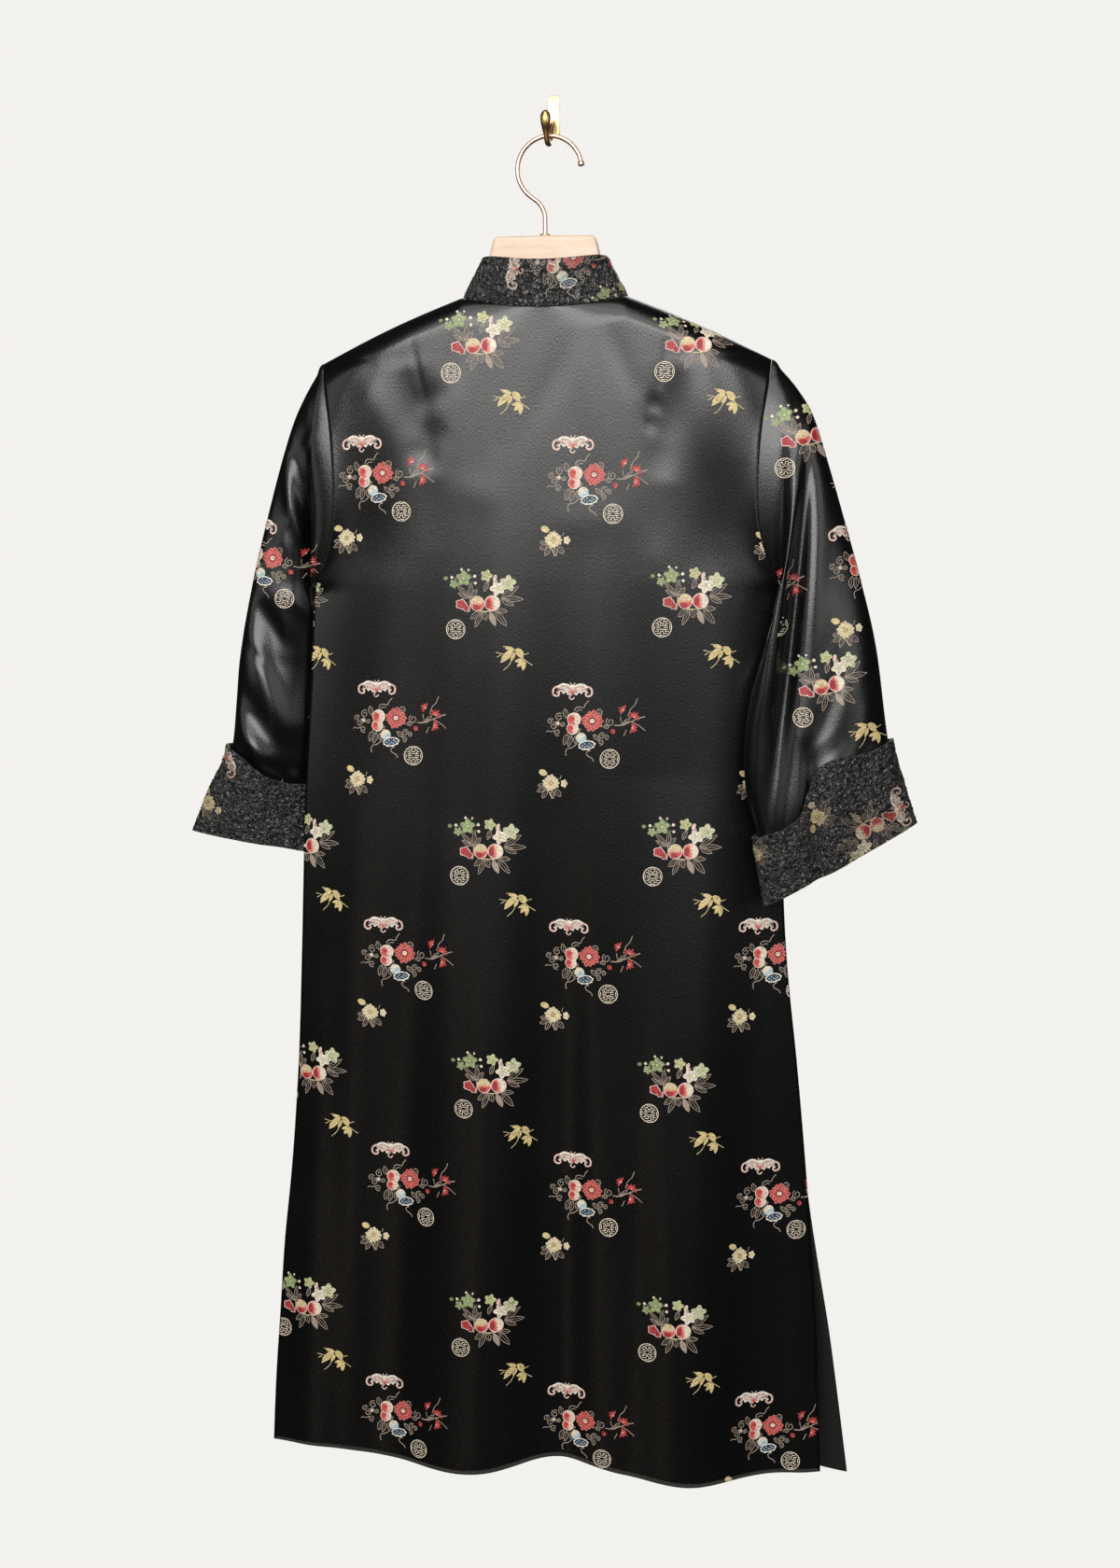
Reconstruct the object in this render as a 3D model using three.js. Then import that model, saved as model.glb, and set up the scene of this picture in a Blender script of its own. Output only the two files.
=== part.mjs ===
// A long satin brocade jacket with a stand collar, three-quarter sleeves, deep turned-back cuffs
// and side slits, hung on a wooden hanger from a small brass wall hook.
//
// Millimetres, +Z up. The origin is the centre of the wall plate's back face, +Y runs into the wall
// and +X to the right of somebody who faces it. The jacket shows its back, so "left" and "right" are
// the wearer's. Every cloth piece is a thin wall: an outer face worked out from the sizes below and an
// inner face one cloth thickness behind it.

import * as THREE from 'three';

// ---------------------------------------------------------------- driving sizes

/** A table's rows as objects, their columns named once. */
const table = (names, rows) => rows.map(
  (row) => Object.fromEntries(names.split(' ').map((name, i) => [name, row[i]])),
);

const CLOTH = 1.6;                 // satin brocade with its seam allowances
const DOUBLE_CLOTH = 2.4;          // collar and cuffs, which are two layers and an interlining
const SEAM_GAP = 0.3;              // clear space between pieces that are sewn together
const HALF_GAP = SEAM_GAP / 2;

const HANG = { x: -2, y: -56 };    // the jacket's centre line in plan

// The neck seam's oval in plan, and how far it dips below its sides. The front dips past frontStart,
// a share of the way from the sides to the middle.
const NECK = {
  halfWidth: 75, backDepth: 32, frontDepth: 29, sideZ: -169, backDip: 12, frontDip: 68,
  frontStart: 0.42, frontCurve: 1.15,
};
const FRONT_EDGE = 0.001;          // half the space between the two fronts, as a share of the half width
const HEM_HALF = { back: 267, front: 275 };
const FOLDS_FADE = 0.12;           // folds fade over this share of the half width, towards the side edges
// sideShare is the collar's height at the sides of the neck, as a share of its height at the middle.
const COLLAR = {
  height: 42, sideShare: 0.8, topHalfWidth: 57, topBackDepth: 28, topFrontDepth: 27, frontGap: 5,
  cornerRadius: 14, cornerDrop: 12.6,
};
const SHOULDER = { tipX: 204, tipZ: -226, rollHeight: 24, rise: 2.5 };
const UNDERARM = { x: 215, z: -432 };
const ARMHOLE_DEPTH = 22;          // half the armhole's depth, front to back
const SLIT_TOP_Z = -995;
const HEM_Z = -1266;

// Half widths of the body down from the shoulder, and how far its middle hangs to one side. The
// armhole curve ends at the underarm.
const BODY_WIDTH = table('z back frontLeft frontRight sway', [
  [-226, 204, 204, 204, 0],
  [-250, 201, 201, 201, 0],
  [-283, 196, 196, 196, 0],
  [-325, 193, 193, 193, 0],
  [-368, 194, 194, 194, 0],
  [-398, 201, 201, 201, 0],
  [-432, 215, 215, 215, 0],
  [-520, 220, 220, 220, -1],
  [-620, 224, 224, 224, -4],
  [-700, 226, 226, 226, -5],
  [-780, 230, 230, 230, -4],
  [-870, 237, 237, 237, -1],
  [-940, 243, 243, 243, 0],
  [-995, 248, 248, 248, 0],
  [-1060, 254, 252, 259, -1],
  [-1130, 259, 256, 271, -1],
  [-1200, 263, 261, 282, -2],
  [-1290, 267, 265, 294, -2],
]);

// Half the jacket's depth at its middle, how boxy its section is there (a higher power is boxier),
// and how far each free edge stands off below the slits.
const BODY_DEPTH = table('z middle power edge', [
  [-160, 25, 7, HALF_GAP + CLOTH],
  [-260, 28, 6, HALF_GAP + CLOTH],
  [-432, 31, 3.4, HALF_GAP + CLOTH],
  [-650, 28, 3, HALF_GAP + CLOTH],
  [-900, 27, 3, HALF_GAP + CLOTH],
  [-995, 28, 3, HALF_GAP + CLOTH],
  [-1130, 31, 3, 6],
  [-1290, 34, 3, 12],
]);

// Large soft folds: a line in the hanging plane, its half width and how far it stands out or in.
// Those that run to the hem end below it, so that they are deepest there.
const FOLD = 'x1 z1 x2 z2 width rise';
const BACK_FOLDS = table(FOLD, [
  [-60, -640, -76, -1900, 46, 11],
  [24, -560, 14, -1900, 34, -13],
  [118, -600, 148, -1900, 50, 12],
  [-150, -700, -196, -1900, 40, -7],
  [205, -800, 232, -1900, 26, -6],
  [-118, -232, -104, -330, 16, -3],
  [120, -232, 108, -335, 16, -3],
]);
const FRONT_FOLDS = table(FOLD, [
  [-95, -560, -118, -1900, 44, 10],
  [-28, -640, -40, -1900, 28, -9],
  [62, -600, 70, -1900, 42, 10],
  [140, -660, 158, -1900, 40, -9],
  [-190, -760, -205, -1900, 34, -6],
  [215, -800, 240, -1900, 34, 7],
]);

// How much lower or higher than HEM_Z the hem lies, across the body.
const HEM_WAVE = table('x back front', [
  [-300, 5, 2],
  [-210, 4, -2],
  [-140, -2, -6],
  [-76, -6, -4],
  [16, 6, 2],
  [80, -3, -5],
  [148, -8, 1],
  [215, -3, -6],
  [300, 0, -12],
]);

// Rings along each sleeve, from the armhole (at 0) to the cuff's fold (at 1). outer is the overarm
// line and inner the underarm line. lean values say how far each lies from the hanging plane, away
// from the body panel that the sleeve overlaps. The ring's half depth is away on that far side, and
// on the near side bulge outside the body and over where the ring lies on it.
const LEFT_SLEEVE = table('at outerX outerZ innerX innerZ outerLean innerLean away bulge over', [
  [0.0, 204, -226, 215, -432, 0, 0, 22, 22, 22],
  [0.05, 211, -237, 219, -446, 0, 4, 23, 21, 17],
  [0.11, 221, -253, 217, -461, 1, 12, 24, 20, 11],
  [0.19, 233, -277, 207, -483, 2, 20, 23, 20, 9],
  [0.3, 246, -315, 197, -512, 3, 25, 21, 21, 8],
  [0.45, 262, -372, 190, -545, 3, 27, 20, 23, 8],
  [0.6, 277, -432, 186, -575, 3, 28, 19, 25, 8],
  [0.72, 290, -500, 184, -595, 4, 30, 20, 28, 9],
  [0.8, 299, -579, 187, -609, 6, 32, 20, 29, 9],
  [0.9, 318, -620, 187, -650, 5, 31, 16, 22, 9],
  [1.0, 336.5, -661, 187, -690, 3, 28, 12, 13, 8],
]);
const RIGHT_SLEEVE = table('at outerX outerZ innerX innerZ outerLean innerLean away bulge over', [
  [0.0, 204, -226, 215, -432, 0, 0, 22, 22, 22],
  [0.05, 213, -235, 219, -446, 0, 4, 24, 20, 17],
  [0.11, 226, -250, 217, -461, 1, 13, 26, 19, 11],
  [0.19, 240, -272, 206, -483, 3, 22, 27, 18, 9],
  [0.3, 252, -306, 193, -512, 4, 28, 26, 18, 8],
  [0.45, 270, -365, 186, -548, 5, 31, 25, 19, 8],
  [0.6, 287, -424, 184, -584, 5, 31, 25, 20, 8],
  [0.72, 302, -486, 187, -618, 5, 31, 27, 22, 9],
  [0.8, 314, -568, 196, -651, 5, 31, 29, 23, 9],
  [0.9, 326, -607, 201, -684, 5, 31, 24, 19, 9],
  [1.0, 339, -643, 206, -716, 5, 31, 17, 13, 8],
]);

// Folds in the sleeves, by the side they lie on: away from the overlapped panel, or near it.
const LEFT_SLEEVE_FOLDS = {
  near: table(FOLD, [
    [-213, -300, -220, -440, 11, -8],
    [-233, -290, -236, -425, 11, 4],
    [-262, -440, -236, -560, 13, -6],
    [-286, -480, -250, -590, 12, 5],
  ]),
  away: table(FOLD, [
    [-224, -300, -214, -560, 14, -7],
    [-262, -430, -240, -600, 16, 4],
  ]),
};
const RIGHT_SLEEVE_FOLDS = {
  near: table(FOLD, [
    [240, -300, 262, -560, 14, -6],
  ]),
  away: table(FOLD, [
    [240, -280, 206, -690, 10, -11],
    [222, -330, 190, -640, 12, 5],
    [276, -420, 286, -560, 20, 4],
  ]),
};
const CUFF_START = 0.8;            // where the cuff's free top edge stands along the sleeve
const CUFF_FIT = { topClear: 3.2, foldClear: 0.6 };
const SLEEVE_END = 0.985;          // the sleeve stops just inside the cuff's fold
const SLEEVE_EASE = 2;             // how far the sleeve stands out sideways just off its seam

const HANGER_SECTIONS = table('x top bottom halfThick roundness', [
  [0, -115, -192, 9.5, 5],
  [44, -115.5, -199, 9.5, 5],
  [47, -120, -200, 9.5, 5],
  [50, -133, -201, 9.5, 4.5],
  [53, -150, -202, 10, 4],
  [57, -163, -203, 11, 3.5],
  [64, -170.6, -205, 11, 3],
  [78, -173.6, -209, 11.5, 2.8],
  [100, -181.8, -216, 12, 2.6],
  [130, -194.7, -228, 12, 2.4],
  [160, -207.6, -239, 10.5, 2.3],
  [180, -217, -244, 8, 2.2],
  [188, -223.5, -240, 5, 2.1],
]);
// The hook's wire rises from the wood, bends into the ring and ends in a small bead.
const HOOK = {
  wireRadius: 1.95, ringRadius: 29, ringX: 2, ringZ: -57, stemX: -2, stemTopZ: -95, bend: 8,
  tipRadius: 3, tipShare: 0.035,
};
const RING_STATIONS = [224, 200, 175, 150, 125, 100, 75, 50, 25, 4];
const PLATE = { width: 11, height: 36, thickness: 3, corner: 3, bevel: 0.5 };
const PEG = {
  radius: 2.5, tipRadius: 4.6, seatClear: 0.25, swellStart: 0.76, swellLength: 0.16, endShare: 0.07,
};

// A frog is a loop of cord laid double on one front and a knot with its own laid bar on the other. The
// loop's bend goes round the knot and lifts over its stem.
const FROG = {
  count: 5, topZ: -262, spacing: 118, cordRadius: 1.5, runGap: 1.9, knotRadius: 5, seatClear: 0.6,
  loopRise: 3.4, riseStart: 14, bendStart: 0.75,
};
const FROG_RUN = [46, 34, 22, 12];
const FROG_KNOT = table('x high deep', [
  [4.4, 1.6, 1.6], [2.6, 4, 3.6], [0, 5, 4.2], [-2.6, 4, 3.6], [-4.4, 2, 1.4], [-10, 1.9, 1.4],
  [-16, 3.3, 1.4], [-26, 3.3, 1.4], [-46, 3.3, 1.4],
]);

// ---------------------------------------------------------------- finishes

const satin = () => new THREE.MeshStandardMaterial({ color: 0x15151a, roughness: 0.4, metalness: 0 });
const crepe = () => new THREE.MeshStandardMaterial({ color: 0x1b1b1e, roughness: 0.6, metalness: 0 });
const piping = () => new THREE.MeshStandardMaterial({ color: 0x0f0f12, roughness: 0.45, metalness: 0 });
const beech = () => new THREE.MeshStandardMaterial({ color: 0xe6cfae, roughness: 0.55, metalness: 0 });
const copper = () => new THREE.MeshStandardMaterial({ color: 0xc98d6a, roughness: 0.25, metalness: 1 });
const brass = () => new THREE.MeshStandardMaterial({ color: 0xcf9f4a, roughness: 0.25, metalness: 1 });

// ---------------------------------------------------------------- helpers

const evenly = (from, to, count) => Array.from({ length: count + 1 }, (_, i) => mix(from, to, i / count));
const roundTurns = (count) => evenly(0, 2 * Math.PI, count).slice(0, -1);
const clamp = (value, low, high) => Math.min(high, Math.max(low, value));
const mix = (a, b, t) => a + (b - a) * t;
const ease = (t) => {
  const c = clamp(t, 0, 1);
  return c * c * (3 - 2 * c);
};

/** A column's value where the key column equals `at`, with the rows joined by one smooth curve. */
function smooth(table, key, column, at) {
  const falling = table[0][key] > table[table.length - 1][key];
  const order = (row) => (falling ? -row[key] : row[key]);
  const target = falling ? -at : at;
  if (target <= order(table[0])) return table[0][column];
  if (target >= order(table[table.length - 1])) return table[table.length - 1][column];
  let i = 0;
  while (order(table[i + 1]) < target) i += 1;
  const slope = (k) => {
    const a = table[Math.max(0, k - 1)];
    const b = table[Math.min(table.length - 1, k + 1)];
    return (b[column] - a[column]) / (order(b) - order(a));
  };
  const span = order(table[i + 1]) - order(table[i]);
  const t = (target - order(table[i])) / span;
  const t2 = t * t;
  const t3 = t2 * t;
  return (2 * t3 - 3 * t2 + 1) * table[i][column]
    + (t3 - 2 * t2 + t) * span * slope(i)
    + (3 * t2 - 2 * t3) * table[i + 1][column]
    + (t3 - t2) * span * slope(i + 1);
}

/** How far a set of folds moves the cloth outwards at a place in the hanging plane. */
function foldRise(folds, x, z) {
  let rise = 0;
  for (const fold of folds) {
    const dx = fold.x2 - fold.x1;
    const dz = fold.z2 - fold.z1;
    const length = Math.hypot(dx, dz);
    const along = ((x - fold.x1) * dx + (z - fold.z1) * dz) / (length * length);
    if (along <= 0 || along >= 1) continue;
    const across = ((x - fold.x1) * dz - (z - fold.z1) * dx) / length / fold.width;
    rise += fold.rise * Math.exp(-across * across) * Math.sin(Math.PI * along);
  }
  return rise;
}

/**
 * A closed wall from a grid of outer points, rows by columns. The inner face lies one thickness behind,
 * along each point's own normal, or where `tuck` moves it. `round` joins the last column to the first.
 */
function clothWall(name, outer, thickness, material, { round = false, tuck = (point) => point } = {}) {
  const rows = outer.length;
  const columns = outer[0].length;
  const at = (r, c) => outer[r][round ? (c + columns) % columns : clamp(c, 0, columns - 1)];
  const inner = outer.map((row, r) => row.map((point, c) => {
    const down = new THREE.Vector3().subVectors(at(Math.min(r + 1, rows - 1), c), at(Math.max(r - 1, 0), c));
    const across = new THREE.Vector3().subVectors(at(r, c + 1), at(r, c - 1));
    const normal = new THREE.Vector3().crossVectors(down, across).normalize();
    return tuck(point.clone().addScaledVector(normal, -thickness), r, c, normal, point);
  }));
  const points = [...outer.flat(), ...inner.flat()];
  const outside = (r, c) => r * columns + (c % columns);
  const inside = (r, c) => rows * columns + outside(r, c);
  const faces = [];
  const quad = (a, b, c, d) => faces.push(a, b, c, a, c, d);
  const spans = round ? columns : columns - 1;
  for (let c = 0; c < spans; c += 1) {
    for (let r = 0; r < rows - 1; r += 1) {
      quad(outside(r, c), outside(r + 1, c), outside(r + 1, c + 1), outside(r, c + 1));
      quad(inside(r, c), inside(r, c + 1), inside(r + 1, c + 1), inside(r + 1, c));
    }
    quad(outside(0, c), outside(0, c + 1), inside(0, c + 1), inside(0, c));
    quad(outside(rows - 1, c + 1), outside(rows - 1, c), inside(rows - 1, c), inside(rows - 1, c + 1));
  }
  for (let r = 0; !round && r < rows - 1; r += 1) {
    quad(outside(r + 1, 0), outside(r, 0), inside(r, 0), inside(r + 1, 0));
    const last = columns - 1;
    quad(outside(r, last), outside(r + 1, last), inside(r + 1, last), inside(r, last));
  }
  return solid(name, points, faces, material);
}

/** A closed body lofted through rings of equal size, with its two ends closed by a fan. */
function loft(name, rings, material) {
  const size = rings[0].length;
  const points = rings.flat();
  const faces = [];
  for (let r = 0; r < rings.length - 1; r += 1) {
    for (let c = 0; c < size; c += 1) {
      const a = r * size + c;
      const b = r * size + ((c + 1) % size);
      faces.push(a, b, b + size, a, b + size, a + size);
    }
  }
  const close = (ring, first, flip) => {
    const centre = ring.reduce((sum, p) => sum.add(p), new THREE.Vector3()).divideScalar(size);
    const middle = points.push(centre) - 1;
    for (let c = 0; c < size; c += 1) {
      const a = first + c;
      const b = first + ((c + 1) % size);
      faces.push(middle, flip ? b : a, flip ? a : b);
    }
  };
  close(rings[0], 0, true);
  close(rings[rings.length - 1], (rings.length - 1) * size, false);
  return solid(name, points, faces, material);
}

/** A named mesh from points and faces, turned so that the faces point outwards. */
function solid(name, points, faces, material) {
  let volume = 0;
  for (let i = 0; i < faces.length; i += 3) {
    const [a, b, c] = [points[faces[i]], points[faces[i + 1]], points[faces[i + 2]]];
    volume += a.dot(new THREE.Vector3().crossVectors(b, c));
  }
  const index = volume > 0 ? faces : faces.map((_, i) => faces[i - (i % 3) + [0, 2, 1][i % 3]]);
  const geometry = new THREE.BufferGeometry();
  geometry.setFromPoints(points);
  geometry.setIndex(index);
  geometry.computeVertexNormals();
  const mesh = new THREE.Mesh(geometry, material);
  mesh.name = name;
  return mesh;
}

/** Rings of a round rod along a curve, its radius given at each step. */
function rodRings(curve, steps, sides, radiusAt) {
  const frames = curve.computeFrenetFrames(steps, false);
  return Array.from({ length: steps + 1 }, (_, i) => {
    const centre = curve.getPointAt(i / steps);
    const radius = radiusAt(i / steps);
    return Array.from({ length: sides }, (__, k) => {
      const turn = (2 * Math.PI * k) / sides;
      return centre.clone()
        .addScaledVector(frames.normals[i], radius * Math.cos(turn))
        .addScaledVector(frames.binormals[i], radius * Math.sin(turn));
    });
  });
}

const object = new THREE.Group();

// ---------------------------------------------------------------- body: back and two fronts

// Stations round the neck seam, as angles from the middle of the back and back from the front opening.
const COLLAR_END = Math.PI - COLLAR.frontGap / 2 / COLLAR.topHalfWidth;
const NECK_ANGLES = {
  back: evenly(0, Math.PI / 2, 5),
  front: [COLLAR_END, COLLAR_END - 0.09, COLLAR_END - 0.18, ...evenly(0.9 * Math.PI, 0.5 * Math.PI, 4)],
};

const ROLL_SHARE = 0.1;            // share of a column's steps spent rolling over the shoulder

/** Height of the shoulder seam, which rises a little in its middle. */
function shoulderZ(distance) {
  const t = (distance - NECK.halfWidth) / (SHOULDER.tipX - NECK.halfWidth);
  return mix(NECK.sideZ, SHOULDER.tipZ, t) + SHOULDER.rise * Math.sin(Math.PI * clamp(t, 0, 1));
}

/** The sewn neck line: how far from the hanging plane it lies and how high, at a distance from the middle. */
function neckLine(distance, side) {
  const round = Math.sqrt(Math.max(0, 1 - (distance / NECK.halfWidth) ** 2));
  if (side < 0) return { depth: NECK.backDepth * round, z: NECK.sideZ - NECK.backDip * round * round };
  const dip = clamp((round - NECK.frontStart) / (1 - NECK.frontStart), 0, 1) ** NECK.frontCurve;
  return { depth: NECK.frontDepth * round, z: NECK.sideZ - NECK.frontDip * dip };
}

/**
 * Half depth of the body at its side edge: the armhole's oval, which closes to nothing at the shoulder
 * tip and to the side seam at the underarm, then that seam, then the open slit.
 */
function edgeDepth(z) {
  const seam = smooth(BODY_DEPTH, 'z', 'edge', z);
  const middle = (SHOULDER.tipZ + UNDERARM.z) / 2;
  const half = (SHOULDER.tipZ - UNDERARM.z) / 2;
  const oval = ARMHOLE_DEPTH * Math.sqrt(Math.max(0, 1 - ((z - middle) / half) ** 2));
  if (z > middle) return oval;
  return z > UNDERARM.z ? Math.max(seam, oval) : seam;
}

/** Outer face of the back (side -1) or a front (side +1): u runs across from -1 to 1, v down from 0 to 1. */
function bodyPoint(side, u, v) {
  const widthColumn = side < 0 ? 'back' : (u < 0 ? 'frontLeft' : 'frontRight');
  const topDistance = Math.abs(u) * SHOULDER.tipX;
  const neck = neckLine(topDistance, side);
  const onNeck = topDistance < NECK.halfWidth;
  const topZ = onNeck ? neck.z : shoulderZ(topDistance);
  const topDepth = onNeck ? neck.depth : 0;
  const hemX = u * (side < 0 ? HEM_HALF.back : HEM_HALF.front);
  const hemZ = HEM_Z + smooth(HEM_WAVE, 'x', side < 0 ? 'back' : 'front', hemX);
  const turn = clamp(v / ROLL_SHARE, 0, 1) * Math.PI / 2;
  const rollZ = topZ - SHOULDER.rollHeight * (1 - Math.cos(turn));
  const z = v < ROLL_SHARE ? rollZ : mix(rollZ, hemZ, (v - ROLL_SHARE) / (1 - ROLL_SHARE));
  const x = u * smooth(BODY_WIDTH, 'z', widthColumn, z) + smooth(BODY_WIDTH, 'z', 'sway', z);
  const edge = edgeDepth(z);
  const inward = 1 - Math.abs(u) ** smooth(BODY_DEPTH, 'z', 'power', z);
  const full = mix(edge, smooth(BODY_DEPTH, 'z', 'middle', z), inward);
  const folds = foldRise(side < 0 ? BACK_FOLDS : FRONT_FOLDS, x, z) * ease((1 - Math.abs(u)) / FOLDS_FADE);
  const depth = Math.max(HALF_GAP, mix(topDepth, full, Math.sin(turn)) + folds * Math.sin(turn));
  return new THREE.Vector3(HANG.x + x, HANG.y + side * depth, z);
}

/** Where along a body column its side edge reaches a height. */
function edgeStep(z) {
  const rollEnd = SHOULDER.tipZ - SHOULDER.rollHeight;
  if (z > rollEnd) {
    const turn = Math.acos(clamp(1 - (SHOULDER.tipZ - z) / SHOULDER.rollHeight, -1, 1));
    return ROLL_SHARE * turn / (Math.PI / 2);
  }
  return ROLL_SHARE + (1 - ROLL_SHARE) * (rollEnd - z) / (rollEnd - HEM_Z);
}

const bodySteps = [
  ...evenly(0, ROLL_SHARE, 4),
  ...evenly(ROLL_SHARE, edgeStep(UNDERARM.z), 4).slice(1),
  ...evenly(edgeStep(UNDERARM.z), edgeStep(SLIT_TOP_Z), 9).slice(1),
  ...evenly(edgeStep(SLIT_TOP_Z), 1, 5).slice(1),
];

function bodyPanel(name, side, columns) {
  const across = side < 0 ? columns : [...columns].reverse();
  const outer = bodySteps.map((v) => across.map((u) => bodyPoint(side, u, v)));
  const tuck = (point, row, column, normal, outerPoint) => {
    const depth = Math.max(HALF_GAP, side * (point.y - HANG.y));
    const z = row === 0 ? Math.min(point.z, outerPoint.z - HALF_GAP) : point.z;
    return new THREE.Vector3(point.x, HANG.y + side * depth, z);
  };
  return clothWall(name, outer, CLOTH, satin(), { tuck });
}

// Columns from the middle outwards: the neck's own stations, so that the collar's foot matches, then
// the shoulder's.
const neckShare = (angle) => Math.sin(angle) * NECK.halfWidth / SHOULDER.tipX;
const shoulderColumns = evenly(neckShare(Math.PI / 2), 1, 6).slice(1);
const backColumns = [...NECK_ANGLES.back.map(neckShare), ...shoulderColumns];
const frontColumns = [FRONT_EDGE, ...NECK_ANGLES.front.map(neckShare), ...shoulderColumns];
const mirrored = (columns) => columns.map((u) => -u).reverse();
object.add(bodyPanel('back', -1, [...mirrored(backColumns), ...backColumns.slice(1)]));
object.add(bodyPanel('front_left', 1, mirrored(frontColumns)));
object.add(bodyPanel('front_right', 1, frontColumns));

// ---------------------------------------------------------------- sleeves and cuffs

const RING_SIDES = 24;

/** Outer face of a sleeve: hand -1 is the left, t runs from the armhole to the cuff, turn round the ring. */
function sleevePoint(hand, t, turn, spread = 0) {
  const table = hand < 0 ? LEFT_SLEEVE : RIGHT_SLEEVE;
  const folds = hand < 0 ? LEFT_SLEEVE_FOLDS : RIGHT_SLEEVE_FOLDS;
  const row = (column) => smooth(table, 'at', column, t);
  const c = Math.cos(turn);
  const s = Math.sin(turn);
  const grow = spread / Math.hypot(row('outerX') - row('innerX'), row('outerZ') - row('innerZ'));
  const along = (1 + c * (1 + 2 * grow)) / 2;
  const x = hand * mix(row('innerX'), row('outerX'), along);
  const z = mix(row('innerZ'), row('outerZ'), along);
  const lean = mix(row('innerLean'), row('outerLean'), along);
  const near = mix(row('over'), row('bulge'), ease((c + 0.45) / 0.8));
  const far = s > 0;
  const reach = (far ? row('away') : near) + spread;
  const fade = ease(t / 0.12) * Math.abs(s);
  const rise = foldRise(far ? folds.away : folds.near, x, z) * fade;
  const offset = lean + (far ? 1 : -1) * (reach * Math.abs(s) + rise);
  const point = new THREE.Vector3(HANG.x + x, HANG.y - hand * offset, z);
  const seam = 1 - ease(t / 0.05);
  if (seam > 0) {
    point.lerp(armholePoint(hand, turn), seam);
    point.x += hand * SLEEVE_EASE * Math.sin(Math.PI * seam);
  }
  return point;
}

/** The armhole's edge on the body, moved out by the seam's gap. */
function armholePoint(hand, turn) {
  const middle = (SHOULDER.tipZ + UNDERARM.z) / 2;
  const half = (SHOULDER.tipZ - UNDERARM.z) / 2;
  const z = middle + half * Math.cos(turn);
  const awaySide = -hand;
  const side = Math.sin(turn) >= 0 ? awaySide : -awaySide;
  const edge = bodyPoint(side < 0 ? -1 : 1, hand, edgeStep(z));
  const onSeam = Math.abs(Math.sin(turn)) < 1e-6;
  return new THREE.Vector3(edge.x + hand * SEAM_GAP, onSeam ? HANG.y : edge.y, edge.z);
}

const turns = roundTurns(RING_SIDES);
const SLEEVE_STEPS = [
  0, 0.025, 0.05, 0.085, 0.13, 0.19, 0.26, 0.34, 0.43, 0.52, 0.61, 0.7, 0.78, 0.86, 0.93, SLEEVE_END,
];

for (const hand of [-1, 1]) {
  const word = hand < 0 ? 'left' : 'right';
  const sleeve = SLEEVE_STEPS.map((t) => turns.map((turn) => sleevePoint(hand, t, turn)));
  const tuck = (point, r, c, normal, outerPoint) => {
    if (r > 0) return point;
    const flat = new THREE.Vector3(0, normal.y, normal.z).normalize();
    return outerPoint.clone().addScaledVector(flat, -CLOTH);
  };
  object.add(clothWall(`sleeve_${word}`, sleeve, CLOTH, satin(), { round: true, tuck }));

  const cuff = evenly(CUFF_START, 1, 4).map((t) => {
    const clear = mix(CUFF_FIT.topClear, CUFF_FIT.foldClear, (t - CUFF_START) / (1 - CUFF_START));
    return turns.map((turn) => sleevePoint(hand, t, turn, DOUBLE_CLOTH + clear));
  });
  object.add(clothWall(`cuff_${word}`, cuff, DOUBLE_CLOTH, crepe(), { round: true }));
}

// ---------------------------------------------------------------- stand collar

/** Outer face of the collar: a turns from the front opening's one end round the back to the other. */
function collarPoint(angle, rise) {
  const sin = Math.sin(angle);
  const cos = Math.cos(angle);
  const side = cos > 0 ? -1 : 1;
  const foot = neckLine(NECK.halfWidth * Math.abs(sin), side);
  const topDepth = (side < 0 ? COLLAR.topBackDepth : COLLAR.topFrontDepth) * Math.abs(cos);
  const toEnd = (Math.PI - Math.abs(angle)) * COLLAR.topHalfWidth - COLLAR.frontGap / 2;
  const corner = Math.max(0, 1 - toEnd / COLLAR.cornerRadius);
  const height = COLLAR.height - COLLAR.cornerDrop * (1 - Math.sqrt(1 - Math.min(1, corner) ** 2));
  const share = rise * height / COLLAR.height;
  const x = mix(NECK.halfWidth, COLLAR.topHalfWidth, share) * sin;
  const depth = mix(foot.depth, topDepth, share);
  const z = foot.z + SEAM_GAP + rise * height * mix(COLLAR.sideShare, 1, Math.abs(cos));
  return new THREE.Vector3(HANG.x + x, HANG.y + side * depth, z);
}

const halfCollar = [...NECK_ANGLES.back, ...[...NECK_ANGLES.front].reverse().slice(1)];
const collarAngles = [...mirrored(halfCollar), ...halfCollar.slice(1)];
const collarGrid = evenly(1, 0, 3).map((rise) => collarAngles.map((angle) => collarPoint(angle, rise)));
const collarTuck = (point, row, column, normal, outerPoint) => {
  if (row < collarGrid.length - 1) return point;
  return new THREE.Vector3(point.x, point.y, Math.max(point.z, outerPoint.z));
};
object.add(clothWall('collar', collarGrid, DOUBLE_CLOTH, crepe(), { tuck: collarTuck }));

// ---------------------------------------------------------------- frog fastenings down the front

/** A place on the closed front, moved out from the cloth. */
function onFront(x, z, lift) {
  const u = clamp(x / smooth(BODY_WIDTH, 'z', 'back', z), -1, 1);
  const hemZ = bodyPoint(1, u, 1).z;
  const rollEnd = bodyPoint(1, u, ROLL_SHARE).z;
  const v = ROLL_SHARE + (1 - ROLL_SHARE) * (rollEnd - z) / (rollEnd - hemZ);
  const point = bodyPoint(1, u, v);
  return new THREE.Vector3(point.x, point.y + lift, z);
}

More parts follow.
